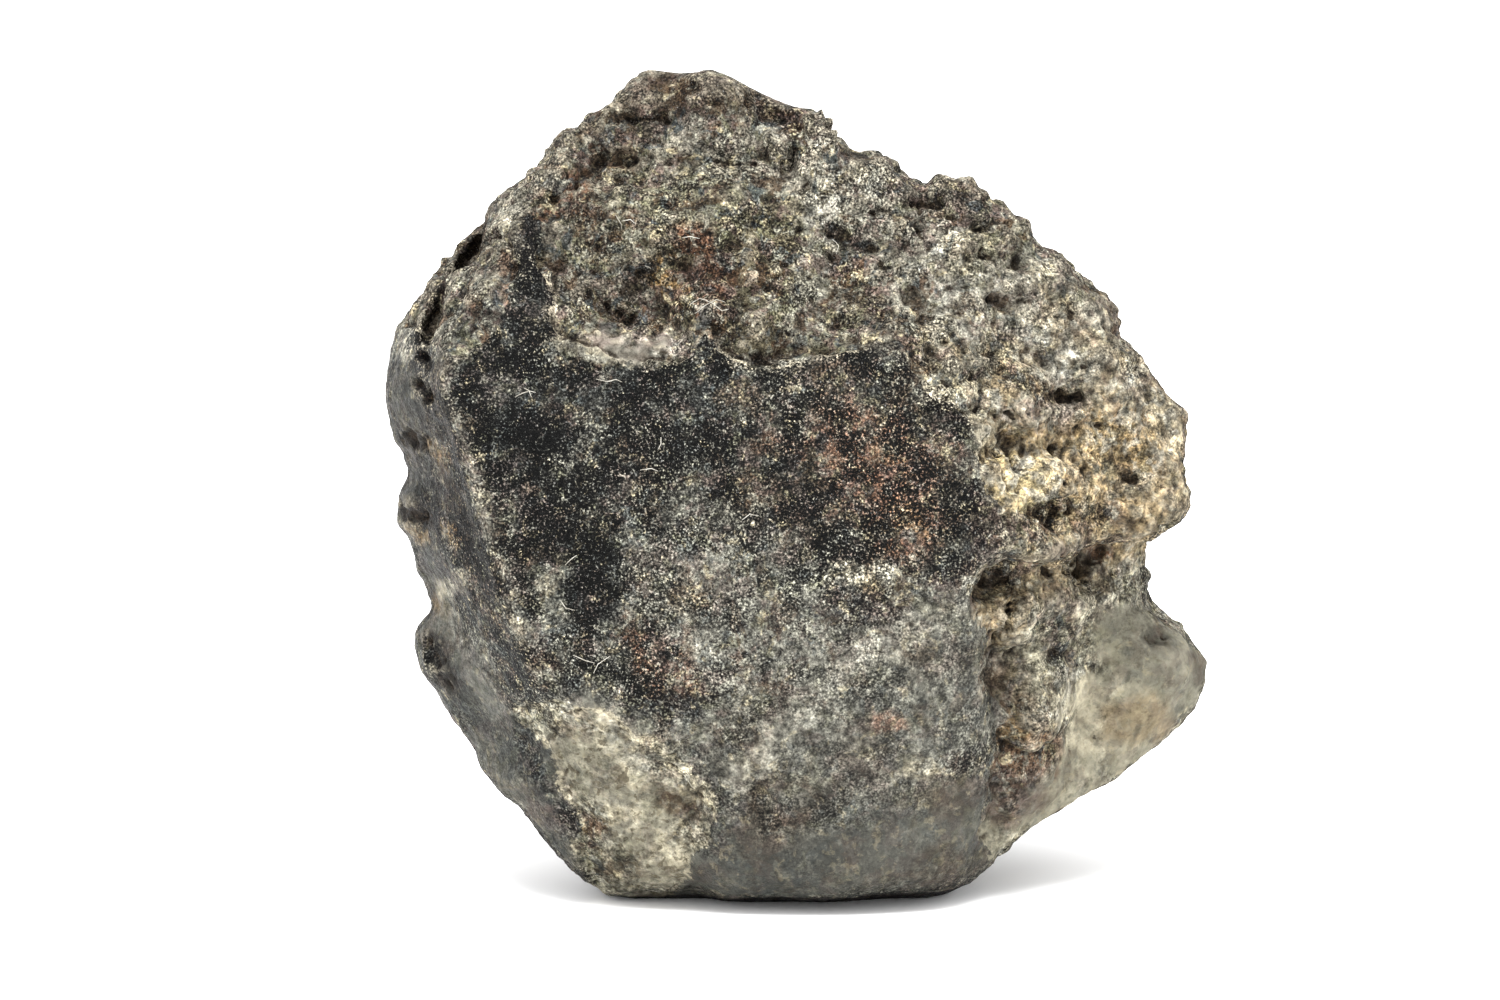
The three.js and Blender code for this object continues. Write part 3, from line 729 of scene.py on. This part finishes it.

# %% The strokes: colour, strength, width in pixels, corners
# Most dark strokes lie in pits, slots and holes and under the crown's overhang: there they are painted
# shade.
STROKES = read_table("""
purple 0.9 44  600,130 660,100 740,100 790,130
brown 1 38  620,110 690,90 750,106
dark 0.3 36  610,120 680,98 750,106
pale 0.35 30  650,145 740,145
pale 0.6 12  760,132 790,140 822,144
brown 0.5 20  570,160 610,140 650,128
broken 0.6 40  620,185 740,180 860,200
olive 0.6 45  600,235 640,215 700,205 770,240 780,300
olive 0.9 60  765,240 770,320
brown 0.55 50  760,240 770,320
brown 0.8 14  604,160 640,158
pale 0.35 20  500,205 560,185
rust 0.9 22  548,205 560,195 573,184
rust 1 40  690,262 715,280 705,300
dark 0.55 26  700,262 712,290
dark 0.5 12  700,266 712,276
orange 1 14  657,270 664,284 678,295
brown 0.8 26  600,310 630,320 670,318
pale 0.55 20  826,178 822,215 814,260 808,310 800,330
cream 0.5 10  810,196 818,210
cream 0.8 9  770,144 783,150
cream 0.8 8  853,170 864,178
pale 0.3 22  780,170 840,175 870,195
brown 0.8 30  855,285 880,295 905,305
purple 0.9 30  930,200 960,190 1000,200
brown 0.5 22  935,192 990,194
pale 0.35 50  940,300 1000,300 1050,340
pale 0.35 34  1085,365 1120,385
cream 1 20  955,256 970,244
olive 0.7 18  990,245 1035,235
cream 0.9 9  1034,272 1048,274
cream 0.9 9  563,343 585,350 606,357
pale 0.8 8  606,360 639,366 672,364
mauve 1 22  610,348 636,348 662,344
pale 0.7 12  614,354 640,358 660,354
grey 0.7 26  450,335 470,290
blue_black 0.5 18  470,335 490,300
rust 0.6 10  505,262 512,300
orange 0.5 8  546,262 548,272
pale 0.3 50  900,235 960,290
pale 0.7 8  726,363 768,365 810,362
cream 0.9 24  915,392 945,396 975,400
grey 0.7 16  945,366 985,366
mauve 0.8 18  1020,414 1076,414
ochre 0.75 36  1105,430 1135,448
ochre 0.45 40  1020,440 1060,500 1130,520
cream 0.9 12  984,436 992,462 1000,486 1014,505
butter 1 34  1000,488 1030,484
butter 1 24  994,466 1012,490 1034,490
cream 0.4 18  1156,405 1175,440
olive 0.7 12  1028,510 1070,508
ink 0.9 18  527,222 528,262
ink 0.5 26  530,285 532,335
blue_black 0.6 40  526,330 530,370
blue_black 1 50  480,370 520,400 545,450
blue_black 0.8 40  500,450 560,500 590,560
blue_black 0.8 40  580,385 650,395 700,370
blue_black 0.35 30  740,380 820,376 880,370
grey 0.5 20  770,400 800,395 830,400
blue_black 0.4 50  650,440 740,480
crust 0.8 60  580,480 640,470 700,450
rust 0.8 58  860,445 890,470 885,505
orange 0.25 14  880,455 905,470
brown 0.7 34  745,495 795,530
rust 0.6 36  912,480 910,530
orange 0.5 14  905,512 918,535
rust 0.5 14  762,443 785,445
purple 0.6 22  775,530 798,545
pale 0.6 26  645,560 690,570 712,585
grey 0.6 46  650,560 720,540 770,570
grey 0.55 50  720,600 790,640 830,680
orange 0.6 12  675,600 700,598
cream 0.7 14  835,575 885,575
orange 0.7 12  870,590 888,596
dark 0.5 20  840,608 892,612
purple 0.5 24  850,610 890,612
pale 0.3 26  650,600 700,640 740,690
pale 0.15 44  815,645 870,615
pale 0.15 26  720,560 760,610 800,650
grey 0.6 30  560,690 640,700 700,740
rust 0.8 28  645,650 665,668 676,684
purple 0.6 18  660,645 680,670
grey 0.7 14  603,650 622,658
pale 0.7 10  700,650 714,652
cream 0.8 12  548,585 562,572
cream 0.8 8  553,604 563,606
blue_black 0.8 34  560,540 580,600 570,640
grey 0.6 30  545,630 575,655
blue_black 0.7 18  640,706 695,706
pale 0.55 16  985,582 930,620 850,668 790,720 735,785
grey 0.3 50  810,800 880,830 940,860
grey 0.45 60  800,740 900,760 950,700
cream 0.6 10  912,768 928,768
rust 0.6 12  882,722 898,722
brown 0.7 26  940,870 980,872
pale 0.4 6  433,337 449,396 471,470 482,512 496,555 515,591 524,643
cream 0.7 8  480,492 485,500
cream 0.7 8  519,622 525,642
brown 0.9 50  396,390 415,500 440,580
blue_black 0.6 44  398,380 420,460 440,525
brown 0.9 34  412,440 430,510
dark 0.45 26  416,450 428,498
blue_black 0.75 44  400,380 412,500 440,620 470,700
blue_black 0.4 70  740,850 860,835 940,860
blue_black 0.3 24  480,300 490,330
blue_black 0.5 26  404,500 412,560
dark 1 11  461,258 476,242
dark 1 11  434,316 445,290
dark 0.9 7  422,356 426,364
dark 0.9 7  419,386 427,397
dark 1 12  846,150 864,157
dark 0.8 13  400,434 426,444
dark 0.8 13  400,508 428,518
dark 0.7 11  434,640 441,662
dark 0.7 10  440,676 456,686
dark 0.6 10  478,652 486,664
dark 0.5 14  430,400 446,430
dark 0.5 12  452,490 470,540
orange 0.7 9  434,448 444,456
orange 0.6 9  411,530 420,538
orange 0.6 9  448,530 456,540
orange 0.6 9  434,602 445,609
cream 0.45 12  446,588 462,580
grey 0.6 24  455,620 490,680 500,700
pale 0.7 12  400,325 402,350
blue_black 0.8 22  515,745 545,785 570,835
purple 0.6 12  532,812 552,820
brown 0.9 12  668,802 688,808
cream 0.9 7  604,713 637,737 677,760 698,788 715,806
cream 0.6 7  520,712 548,706 580,711
cream 0.6 12  600,730 612,742
cream 0.6 14  630,770 640,782
cream 0.6 14  618,810 632,818
cream 0.6 14  660,850 680,856
brown 0.5 14  600,860 614,868
orange 0.8 9  585,826 600,826
lobe 0.8 34  1030,650 1040,685
olive 0.25 30  1075,640 1110,650
cream 0.55 34  1065,705 1088,728
tan 0.7 28  1120,722 1150,716
grey 0.45 36  1158,655 1190,690
grey 0.4 26  1120,618 1158,632
dark 0.5 12  1150,634 1162,642
dark 0.6 16  1204,650 1210,676
tan 0.6 30  1040,530 1080,520 1140,530
tan 0.8 24  990,590 1000,625
brown 0.7 34  1010,690 1020,740 1010,790
orange 0.7 22  1005,728 1040,735
rust 0.6 24  1010,760 1044,752
purple 0.7 26  996,800 1024,795
dark 0.85 14  1086,552 1098,562 1086,566
rust 0.7 9  1096,551 1106,552
purple 0.8 12  1050,550 1066,556
dark 0.9 10  978,580 1006,578
""")

# %% Brush the colours on
points = read_points(skin)
column, row, depth = in_picture(points)
drift = waves(points, 4.5, 11)[:, None]
ground = np.where(drift > 0, COLOURS["broken"], COLOURS["broken"] * (1 + 0.15 * drift))


def wash(under, name, weight):
    """Lays one colour of the box over what is there, as strongly as the weight says."""
    return under + (COLOURS[name] - under) * np.clip(weight, 0, 1)[:, None]


ground = wash(ground, "purple", 0.6 * soft_step(0.1, 0.7, waves(points, 3.3, 12)))
ground = wash(ground, "olive", 0.5 * soft_step(0.1, 0.7, waves(points, 2.9, 13)))
ground = wash(ground, "tan", 0.8 * cheek)
ground = wash(ground, "lobe", 0.85 * lobe)
crust_ground = np.tile(COLOURS["crust"], (len(points), 1))
crust_ground = wash(crust_ground, "blue_black", 0.8 * soft_step(0.0, 0.7, waves(points, 5.2, 14)))
crust_ground = wash(crust_ground, "brown", 0.7 * soft_step(0.1, 0.7, waves(points, 3.7, 15)))
crust_ground = wash(crust_ground, "grey", 0.5 * soft_step(0.2, 0.8, waves(points, 2.6, 16)))
chip_ground = np.tile(COLOURS["chip"], (len(points), 1))
washes = {"broken": ground, "crust": crust_ground, "chip": chip_ground}
for name, strength, width, line in STROKES:
    near, weight = near_stroke(width, line, 21, 0.55)
    on_crust = (crust[near] * weight).sum() / max(weight.sum(), 1e-9)
    on_chip = (chip[near] * weight).sum() / max(weight.sum(), 1e-9)
    home = washes["chip" if on_chip > 0.5 else "crust" if on_crust > 0.5 else "broken"]
    home[near] = wash(home[near], name, weight * strength)
# the drawn-in foot is painted near-black in every layer: painted shade under the stone
for layer in washes:
    washes[layer] = wash(washes[layer], "shade", in_gap)
print(len(STROKES), "strokes brushed")

# %% [markdown]
# ## Fewer triangles
#
# The fine net has more triangles than a part may have. The Decimate modifier takes them
# away where the skin is flat and leaves them where it is rough. What was measured and brushed on
# the fine net is then handed to the points that are left, each from its nearest old point.
# Last the skin is shrunk back to life size.

# %% Thin the net, hand the values over and return to life size
TRIANGLES = 197000
apply_modifier(skin, "TRIANGULATE", "triangles")
had = len(skin.data.polygons)
if had > TRIANGLES:
    apply_modifier(skin, "DECIMATE", "thin", decimate_type="COLLAPSE", ratio=TRIANGLES / had)
old_points = kdtree.KDTree(len(points))
for index, place in enumerate(points):
    old_points.insert(place, index)
old_points.balance()
kept = read_points(skin)
source = np.array([old_points.find(place)[1] for place in kept])
print("triangles", had, "->", len(skin.data.polygons))


def give_attribute(piece, name, values):
    """Stores one number or one colour for each point, for the material to read."""
    kind, channel = "FLOAT", "value"
    if values.ndim > 1:
        kind, channel = "FLOAT_COLOR", "color"
        values = np.column_stack([values, np.ones(len(values))])
    attribute = piece.data.attributes.new(name, kind, "POINT")
    attribute.data.foreach_set(channel, values.astype(np.float32).ravel())


for name, layer in washes.items():
    give_attribute(skin, name + "_wash", layer[source])
in_open = 1 - in_gap
for name, values in (
    ("lip", lip), ("crust_mm", crust_mm), ("chip_mm", chip_mm), ("quiet", quiet),
    ("hollow", fine_hollow * in_open), ("wide_hollow", wide_hollow * in_open),
):
    give_attribute(skin, name, values[source])
write_points(skin, kept * MM)
skin.data.polygons.foreach_set("use_smooth", np.ones(len(skin.data.polygons), bool))
skin.vertex_groups.clear()

# %% [markdown]
# ## The stone's material
#
# The brushed colours are the ground. The material breaks them up at the scale of the mineral
# grains: clouds of noise become masks, and each mask lays one more colour over the last. Short
# helpers stand for the nodes that come back often: Math, Map Range, Mix and Noise.

# %% Helpers for sums, ramps, mixes and noise
NOISE_STEP = (7.3, 3.1, 5.7)  # mm from one part of a noise to the next


def reckon(operation, *values):
    """One Math node."""
    made = lay("ShaderNodeMath", operation=operation)
    for socket, value in zip(made.inputs, values):
        plug(socket, value)
    return made.outputs[0]


def times(value, *others):
    """All the values multiplied."""
    for other in others:
        value = reckon("MULTIPLY", value, other)
    return value


def plus(value, *others):
    """All the values added up."""
    for other in others:
        value = reckon("ADD", value, other)
    return value


def minus(value, taken):
    """The first value less the second."""
    return reckon("SUBTRACT", value, taken)


def ramp(value, low, high, to_low=0.0, to_high=1.0):
    """A smooth rise from to_low to to_high while the value goes from low to high."""
    made = lay("ShaderNodeMapRange", interpolation_type="SMOOTHSTEP")
    feed(made, Value=value, From_Min=low, From_Max=high, To_Min=to_low, To_Max=to_high)
    return made.outputs["Result"]


def mix(share, under, over, kind="RGBA", mode="MIX"):
    """Mixes two colours, or two numbers with the kind FLOAT, by a share."""
    made = lay("ShaderNodeMix", data_type=kind, blend_type=mode)
    return feed(made, Factor=share, A=under, B=over)["Result"]


def stored(name, output="Fac"):
    """Reads a value that was stored on the points."""
    return lay("ShaderNodeAttribute", attribute_name=name).outputs[output]


def place_in_mm():
    """Where a point lies on the object, in millimetres."""
    where = lay("ShaderNodeTexCoord").outputs["Object"]
    return feed(lay("ShaderNodeMapping"), Vector=where, Scale=(1 / MM, 1 / MM, 1 / MM))["Vector"]


def noise(size, detail=3.0, roughness=0.6, distortion=0.0, moved=0):
    """Cloudy noise from 0 to 1 with features `size` mm across, moved to another part of it."""
    place = in_mm
    if moved:
        shift = tuple(moved * step for step in NOISE_STEP)
        place = feed(lay("ShaderNodeMapping"), Vector=in_mm, Location=shift)["Vector"]
    cloud = lay("ShaderNodeTexNoise")
    feed(cloud, Vector=place, Scale=1 / size, Detail=detail)
    return feed(cloud, Roughness=roughness, Distortion=distortion)["Fac"]


def cover(share, name):
    """Lays a colour of the box over the colour so far, as strongly as the share says."""
    return mix(share, colour, (*COLOURS[name], 1))


# %% Group: mineral grains, each with its own shade and a raised core
grains_group = bpy.data.node_groups.new("mineral grains", "ShaderNodeTree")
tree = grains_group
for direction, kind, name in (
    ("INPUT", "NodeSocketVector", "Place"), ("INPUT", "NodeSocketFloat", "Grains per mm"),
    ("OUTPUT", "NodeSocketFloat", "Shade"), ("OUTPUT", "NodeSocketFloat", "Core"),
):
    grains_group.interface.new_socket(name, in_out=direction, socket_type=kind)
enter, leave = lay("NodeGroupInput").outputs, lay("NodeGroupOutput")
cells = lay("ShaderNodeTexVoronoi", feature="F1")
cells = feed(cells, Vector=enter["Place"], Scale=enter["Grains per mm"])
parts = feed(lay("ShaderNodeSeparateColor"), Color=cells["Color"])
feed(leave, Shade=parts["Red"], Core=ramp(cells["Distance"], 0.6, 0.15))

# %% Start the material with the borders and the ground
stone, tree, shader = new_material("weathered_chondrite")
in_mm = place_in_mm()
fine = feed(lay("ShaderNodeGroup", node_tree=grains_group), Place=in_mm, Grains_per_mm=12.0)
coarse = feed(lay("ShaderNodeGroup", node_tree=grains_group), Place=in_mm, Grains_per_mm=4.2)

crust_edge = plus(stored("crust_mm"), ramp(noise(0.25), 0.3, 0.7, -0.12, 0.12))
crust_mask = ramp(crust_edge, -0.03, 0.03)
chip_edge = plus(stored("chip_mm"), ramp(noise(0.22), 0.3, 0.7, -0.10, 0.10))
chip_mask = ramp(chip_edge, -0.03, 0.03)
crust_only = times(crust_mask, minus(1.0, chip_mask))
loud = ramp(stored("quiet"), 0.0, 1.0, 1.0, 0.0)


def by_ground(on_broken, on_crust):
    """One value on broken ground and another on the crust."""
    return ramp(crust_only, 0.0, 1.0, on_broken, on_crust)


colour = mix(crust_mask, stored("broken_wash", "Color"), stored("crust_wash", "Color"))
colour = mix(chip_mask, colour, stored("chip_wash", "Color"))
ground_light = feed(lay("ShaderNodeSeparateColor"), Color=colour)["Green"]
bright_ground = ramp(ground_light, 0.006, 0.045)
light_ground = times(ramp(ground_light, 0.12, 0.19), ramp(loud, 0.05, 0.35, 0.1, 1.0))

# %% [markdown]
# ## Patches, dust, painted light and shade
#
# Minerals differ from patch to patch, so each colour of a short list shows where a noise of its
# own is high. Pale clasts and dark specks lie in the light ground. Then come a film of dust and
# the pale rims of the chip and of the crust's lip. Edges are painted pale, partly as wear and partly
# as painted light, hollows are painted dark as painted shade, and last a net of fine pale veins
# runs through the crust.

# %% Patches: colour, size in mm, where the noise begins and ends to show, strength
PATCHES = [
    ("plum", 1.10, 0.50, 0.58, 0.75), ("moss", 0.90, 0.54, 0.61, 0.65),
    ("slate", 0.75, 0.55, 0.61, 0.80), ("umber", 1.20, 0.54, 0.60, 0.75),
    ("sand", 0.55, 0.58, 0.64, 0.85), ("soot", 0.60, 0.58, 0.63, 0.85),
    ("ash", 0.50, 0.56, 0.61, 0.60),
]
patch_share = times(by_ground(1.0, 0.7), ramp(loud, 0.0, 1.0, 0.35, 1.0))
patch_share = times(patch_share, ramp(bright_ground, 0.0, 1.0, 0.3, 1.0))
for number, (name, size, low, high, strength) in enumerate(PATCHES):
    patch = ramp(noise(size, 5.0, 0.6, 0.5, number), low, high, 0.0, strength)
    colour = cover(times(patch, patch_share), name)

# %% Clasts, specks and dust
clasts = ramp(noise(0.8, 3.0, 0.55, 0.6), 0.50, 0.58)
colour = cover(times(light_ground, clasts, 0.55), "clast")
speck_share = times(ramp(ground_light, 0.06, 0.12), mix(chip_mask, light_ground, 1.0, "FLOAT"))
specks = ramp(noise(0.42, 3.0, 0.6, 0.4), 0.55, 0.63)
colour = cover(times(speck_share, specks, 0.75), "speck")
dust = times(ramp(noise(0.38, 6.0, 0.72), 0.52, 0.60), ramp(noise(2.4), 0.4, 0.65, 0.08, 0.75))
dust = times(dust, ramp(bright_ground, 0.0, 1.0, 0.12, 0.85), ramp(loud, 0.0, 0.5, 0.3, 1.0))
colour = cover(dust, "dust")

# %% Rims, pale edges, painted shade in hollows, and veins
rim_share = times(ramp(chip_edge, 0.16, 0.04), ramp(chip_edge, -0.14, -0.04))
rim_share = times(rim_share, ramp(noise(1.1), 0.46, 0.58, 0.0, 0.7))
colour = cover(rim_share, "chip_rim")
lip_share = times(ramp(crust_edge, 0.06, -0.02), ramp(crust_edge, -0.20, -0.12))
lip_share = times(lip_share, ramp(noise(0.9, 4.0), 0.36, 0.50, 0.15, 0.9), stored("lip"))
colour = cover(lip_share, "lip")
wide = stored("wide_hollow")
# edges painted pale: partly wear, partly painted light on convex tops
colour = cover(ramp(wide, -0.04, -0.16, 0.0, 0.4), "wear_and_light")
# painted shade: the wider hollows are darkened
colour = cover(ramp(wide, 0.03, 0.18, 0.0, 0.65), "hollow_shade")
frayed = plus(stored("hollow"), ramp(noise(0.16, 4.0, 0.75), 0.3, 0.7, -0.05, 0.05))
# small rises painted pale: partly wear, partly painted light
colour = cover(ramp(frayed, -0.04, -0.12, 0.0, 0.5), "scuff_and_light")
# painted shade: the small creases and pits are darkened
colour = cover(ramp(frayed, 0.03, 0.11, 0.0, 0.8), "crease_shade")
off_vein = reckon("ABSOLUTE", minus(noise(0.55, 4.0, 0.6, 0.8), 0.5))
veins = times(ramp(off_vein, 0.030, 0.0), ramp(ground_light, 0.020, 0.080))
veins = times(veins, by_ground(0.0, 0.55), ramp(loud, 0.0, 0.8, 0.2, 1.0))
colour = cover(veins, "vein")

# %% [markdown]
# ## Light and dark grains
#
# Real grains differ by a share of their brightness, not by a fixed step: on dark crust the steps
# look small and are still strong in share. So noise of three sizes is added up, taken as a power
# of e and multiplied with the colour. A ceiling keeps the lightest grains from turning white, and
# the quiet places get little of it. A few painted glints, that is painted highlights, and dark pores go
# on top.

# %% Tones of the grains
PALEST = 0.22  # the smaller, the lighter the lightest grains
EVEN_OUT = 0.0050  # lively grains would lift the mean brightness; this takes it back
DARKER = 0.15


def tone(value, strength):
    """How much lighter or darker noise makes the stone: zero in its middle, more each way."""
    return times(minus(value, 0.5), strength)


lively = times(ramp(noise(1.4), 0.38, 0.62, 0.4, 1.15), loud)
crust_gain = ramp(ground_light, 0.005, 0.10, 30.0, 12.0)
grain_gain = times(lively, mix(crust_only, 10.5, crust_gain, "FLOAT"))
grain_tone = plus(tone(noise(0.090, 1.5), grain_gain), tone(fine["Shade"], times(lively, 0.8)))
clods = noise(0.30, 4.0, ramp(loud, 0.0, 1.0, 0.45, 0.72))
clod_tone = tone(clods, times(ramp(loud, 0.0, 0.4, 0.8, 6.0), by_ground(1.0, 0.95)))
wide_gain = times(by_ground(5.2, 4.0), ramp(loud, 0.0, 0.5, 0.35, 1.0))
all_tones = plus(grain_tone, clod_tone, tone(noise(0.9, 4.0, 0.65), wide_gain))
evened = times(grain_gain, grain_gain, EVEN_OUT)
lighter = reckon("EXPONENT", minus(minus(all_tones, evened), DARKER))
shade = reckon("DIVIDE", times(lighter, 1.0 + PALEST), plus(times(lighter, PALEST), 1.0))
shade = feed(lay("ShaderNodeCombineColor"), Red=shade, Green=shade, Blue=shade)["Color"]
colour = mix(1.0, colour, shade, mode="MULTIPLY")
# painted highlights: tiny pale glints in the colour
painted_glints = ramp(noise(0.080, 1.0, 0.5), 0.69, 0.76)
colour = cover(times(painted_glints, loud, 0.45), "painted_glint")
pores = ramp(noise(0.15, 2.0), 0.38, 0.32)
colour = cover(times(pores, loud, 0.85), "pore")
feed(shader, Base_Color=colour)
print("nodes for the colour:", len(tree.nodes))

# %% Finish: roughness and the finest relief
rough = plus(by_ground(0.85, 0.58), ramp(noise(0.5), 0.3, 0.7, -0.12, 0.12))
height = plus(times(fine["Core"], 0.030), times(noise(0.12, 4.0, 0.7), 0.09))
height = plus(height, times(clods, by_ground(0.35, 0.18)), times(coarse["Core"], 0.04))
height = times(minus(height, times(pores, 0.05)), ramp(loud, 0.0, 0.8, 0.35, 1.0))
bump = feed(lay("ShaderNodeBump"), Height=height, Distance=MM, Strength=0.9)
feed(shader, Roughness=rough, Specular_IOR_Level=0.07, Normal=bump["Normal"])
skin.data.materials.append(stone)
print("nodes in the stone's material:", len(tree.nodes))

# %% [markdown]
# ## Lint
#
# A stone that was wiped with a cloth keeps a few threads of lint. Each one is a hair-thin curve with
# a round profile, laid on the skin by shooting rays at it and lifted a little off the
# surface. The curves are turned into one mesh at the end.

# %% Find places on the skin
bpy.context.view_layer.update()


def touch(start, direction):
    """Where a ray meets the skin, in mm, and the way the skin faces there. None if it misses."""
    hit, place, normal, _ = skin.ray_cast(Vector(start * MM), Vector(direction).normalized())
    return (np.array(place) / MM, np.array(normal)) if hit else None


def thread_in_view(line):
    """The places on the skin under a line drawn in the picture, four to each part of it."""
    places = []
    for (ax, ay), (bx, by) in zip(line[:-1], line[1:]):
        for share in (0, 0.25, 0.5, 0.75):
            across = (ax + (bx - ax) * share - PICTURE_WIDTH / 2) / DISTANCE / PIXELS_PER_MM
            up = (PICTURE_HEIGHT / 2 - ay - (by - ay) * share) / DISTANCE / PIXELS_PER_MM
            places.append(touch(EYE, FORWARD + across * RIGHTWARD + up * UPWARD))
    return [place for place in places if place]


OUTSIDE = 60  # mm from the stone's middle


def thread_around(number):
    """The places under a short curl anywhere on the stone."""
    turn = [(scramble(number, step, 7, 99) & TEN_BITS) / TEN_BITS for step in range(6)]
    middle = np.array([0.0, 0.5, 15.0])
    places = []
    for share in np.linspace(0, 1, 14):
        around = 2 * math.pi * turn[0]
        around += (0.06 + 0.06 * turn[2]) * share * math.cos(6 * turn[3] * share)
        height = math.asin(1.7 * turn[1] - 0.85)
        height += (0.05 + 0.07 * turn[4]) * share * math.sin(6 * turn[5] * share + 1)
        level = math.cos(height)
        away = np.array([math.cos(around) * level, math.sin(around) * level, math.sin(height)])
        places.append(touch(middle + OUTSIDE * away, -away))
    return [place for place in places if place]


# %% The threads in view, as corners in picture pixels
THREADS = read_table("""
515,397 523,393 529,391 538,393
524,388 529,391 532,399
661,437 661,444 657,451
577,555 571,559 563,567
596,379 606,382 616,380 624,383
615,215 621,222 622,231
622,221 630,219 636,224
682,238 692,236 702,239
645,265 649,266 652,270
690,305 700,299 712,303 722,311 730,309
696,313 705,306 716,300 727,303
832,240 838,247 836,256
640,470 652,468 660,472
560,600 566,608 578,611
573,655 585,660 598,664
742,520 750,514 761,516
610,656 598,664 592,676
""")
threads = [thread_in_view(line) for (line,) in THREADS]
print(len(threads), "threads in view")

# %% Lay the threads
LONGEST_STEP = 0.5  # mm from one place of a thread to the next
CURLS = 26
THREAD_RADIUS = 0.018  # mm


def lies_flat(places):
    """Whether a thread has enough places, none of them a jump from the one before."""
    pairs = zip(places[:-1], places[1:])
    steps = [np.linalg.norm(after[0] - before[0]) for before, after in pairs]
    return len(places) > 3 and max(steps) < LONGEST_STEP


def faces_away(places):
    """Whether the whole thread lies on the sides that the camera can't see."""
    return min(normal @ FORWARD for place, normal in places) > 0.1


curls = [thread_around(number) for number in range(CURLS)]
threads += [places for places in curls if len(places) > 3 and faces_away(places)]
threads = [places for places in threads if lies_flat(places)]
lint_curve = bpy.data.curves.new("lint", "CURVE")
lint_curve.dimensions = "3D"
lint_curve.bevel_depth = THREAD_RADIUS * MM
lint_curve.bevel_resolution = 1
lint_curve.use_fill_caps = True
for number, places in enumerate(threads):
    spline = lint_curve.splines.new("POLY")
    spline.points.add(len(places) - 1)
    for index, (place, normal) in enumerate(places):
        share = index / (len(places) - 1)
        lift = 0.03 + 0.10 * math.sin(math.pi * share) * ((number * 37 % 10) / 10)
        spline.points[index].co = (*((place + normal * lift) * MM), 1)
        spline.points[index].radius = 0.55 + 0.45 * math.sin(math.pi * share)
lint = bpy.data.objects.new("lint", lint_curve)
bpy.context.scene.collection.objects.link(lint)
pick_only(lint)
bpy.ops.object.convert(target="MESH")
lint = bpy.context.object
bpy.ops.object.shade_smooth()
print(len(threads), "threads,", len(lint.data.polygons), "faces")

# %% The lint's material
fluff, tree, shader = new_material("pale_lint")
in_mm = place_in_mm()
colour = (*COLOURS["lint_grey"], 1)
colour = cover(ramp(noise(0.4), 0.35, 0.65), "lint_white")
rough = ramp(noise(0.2, 2.0), 0.3, 0.7, 0.6, 0.9)
feed(shader, Base_Color=colour, Roughness=rough, Specular_IOR_Level=0.2)
lint.data.materials.append(fluff)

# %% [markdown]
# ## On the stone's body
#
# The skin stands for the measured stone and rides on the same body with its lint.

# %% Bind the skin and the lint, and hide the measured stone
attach(skin, "root")
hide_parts("chondrite_stone")
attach(lint, "root")
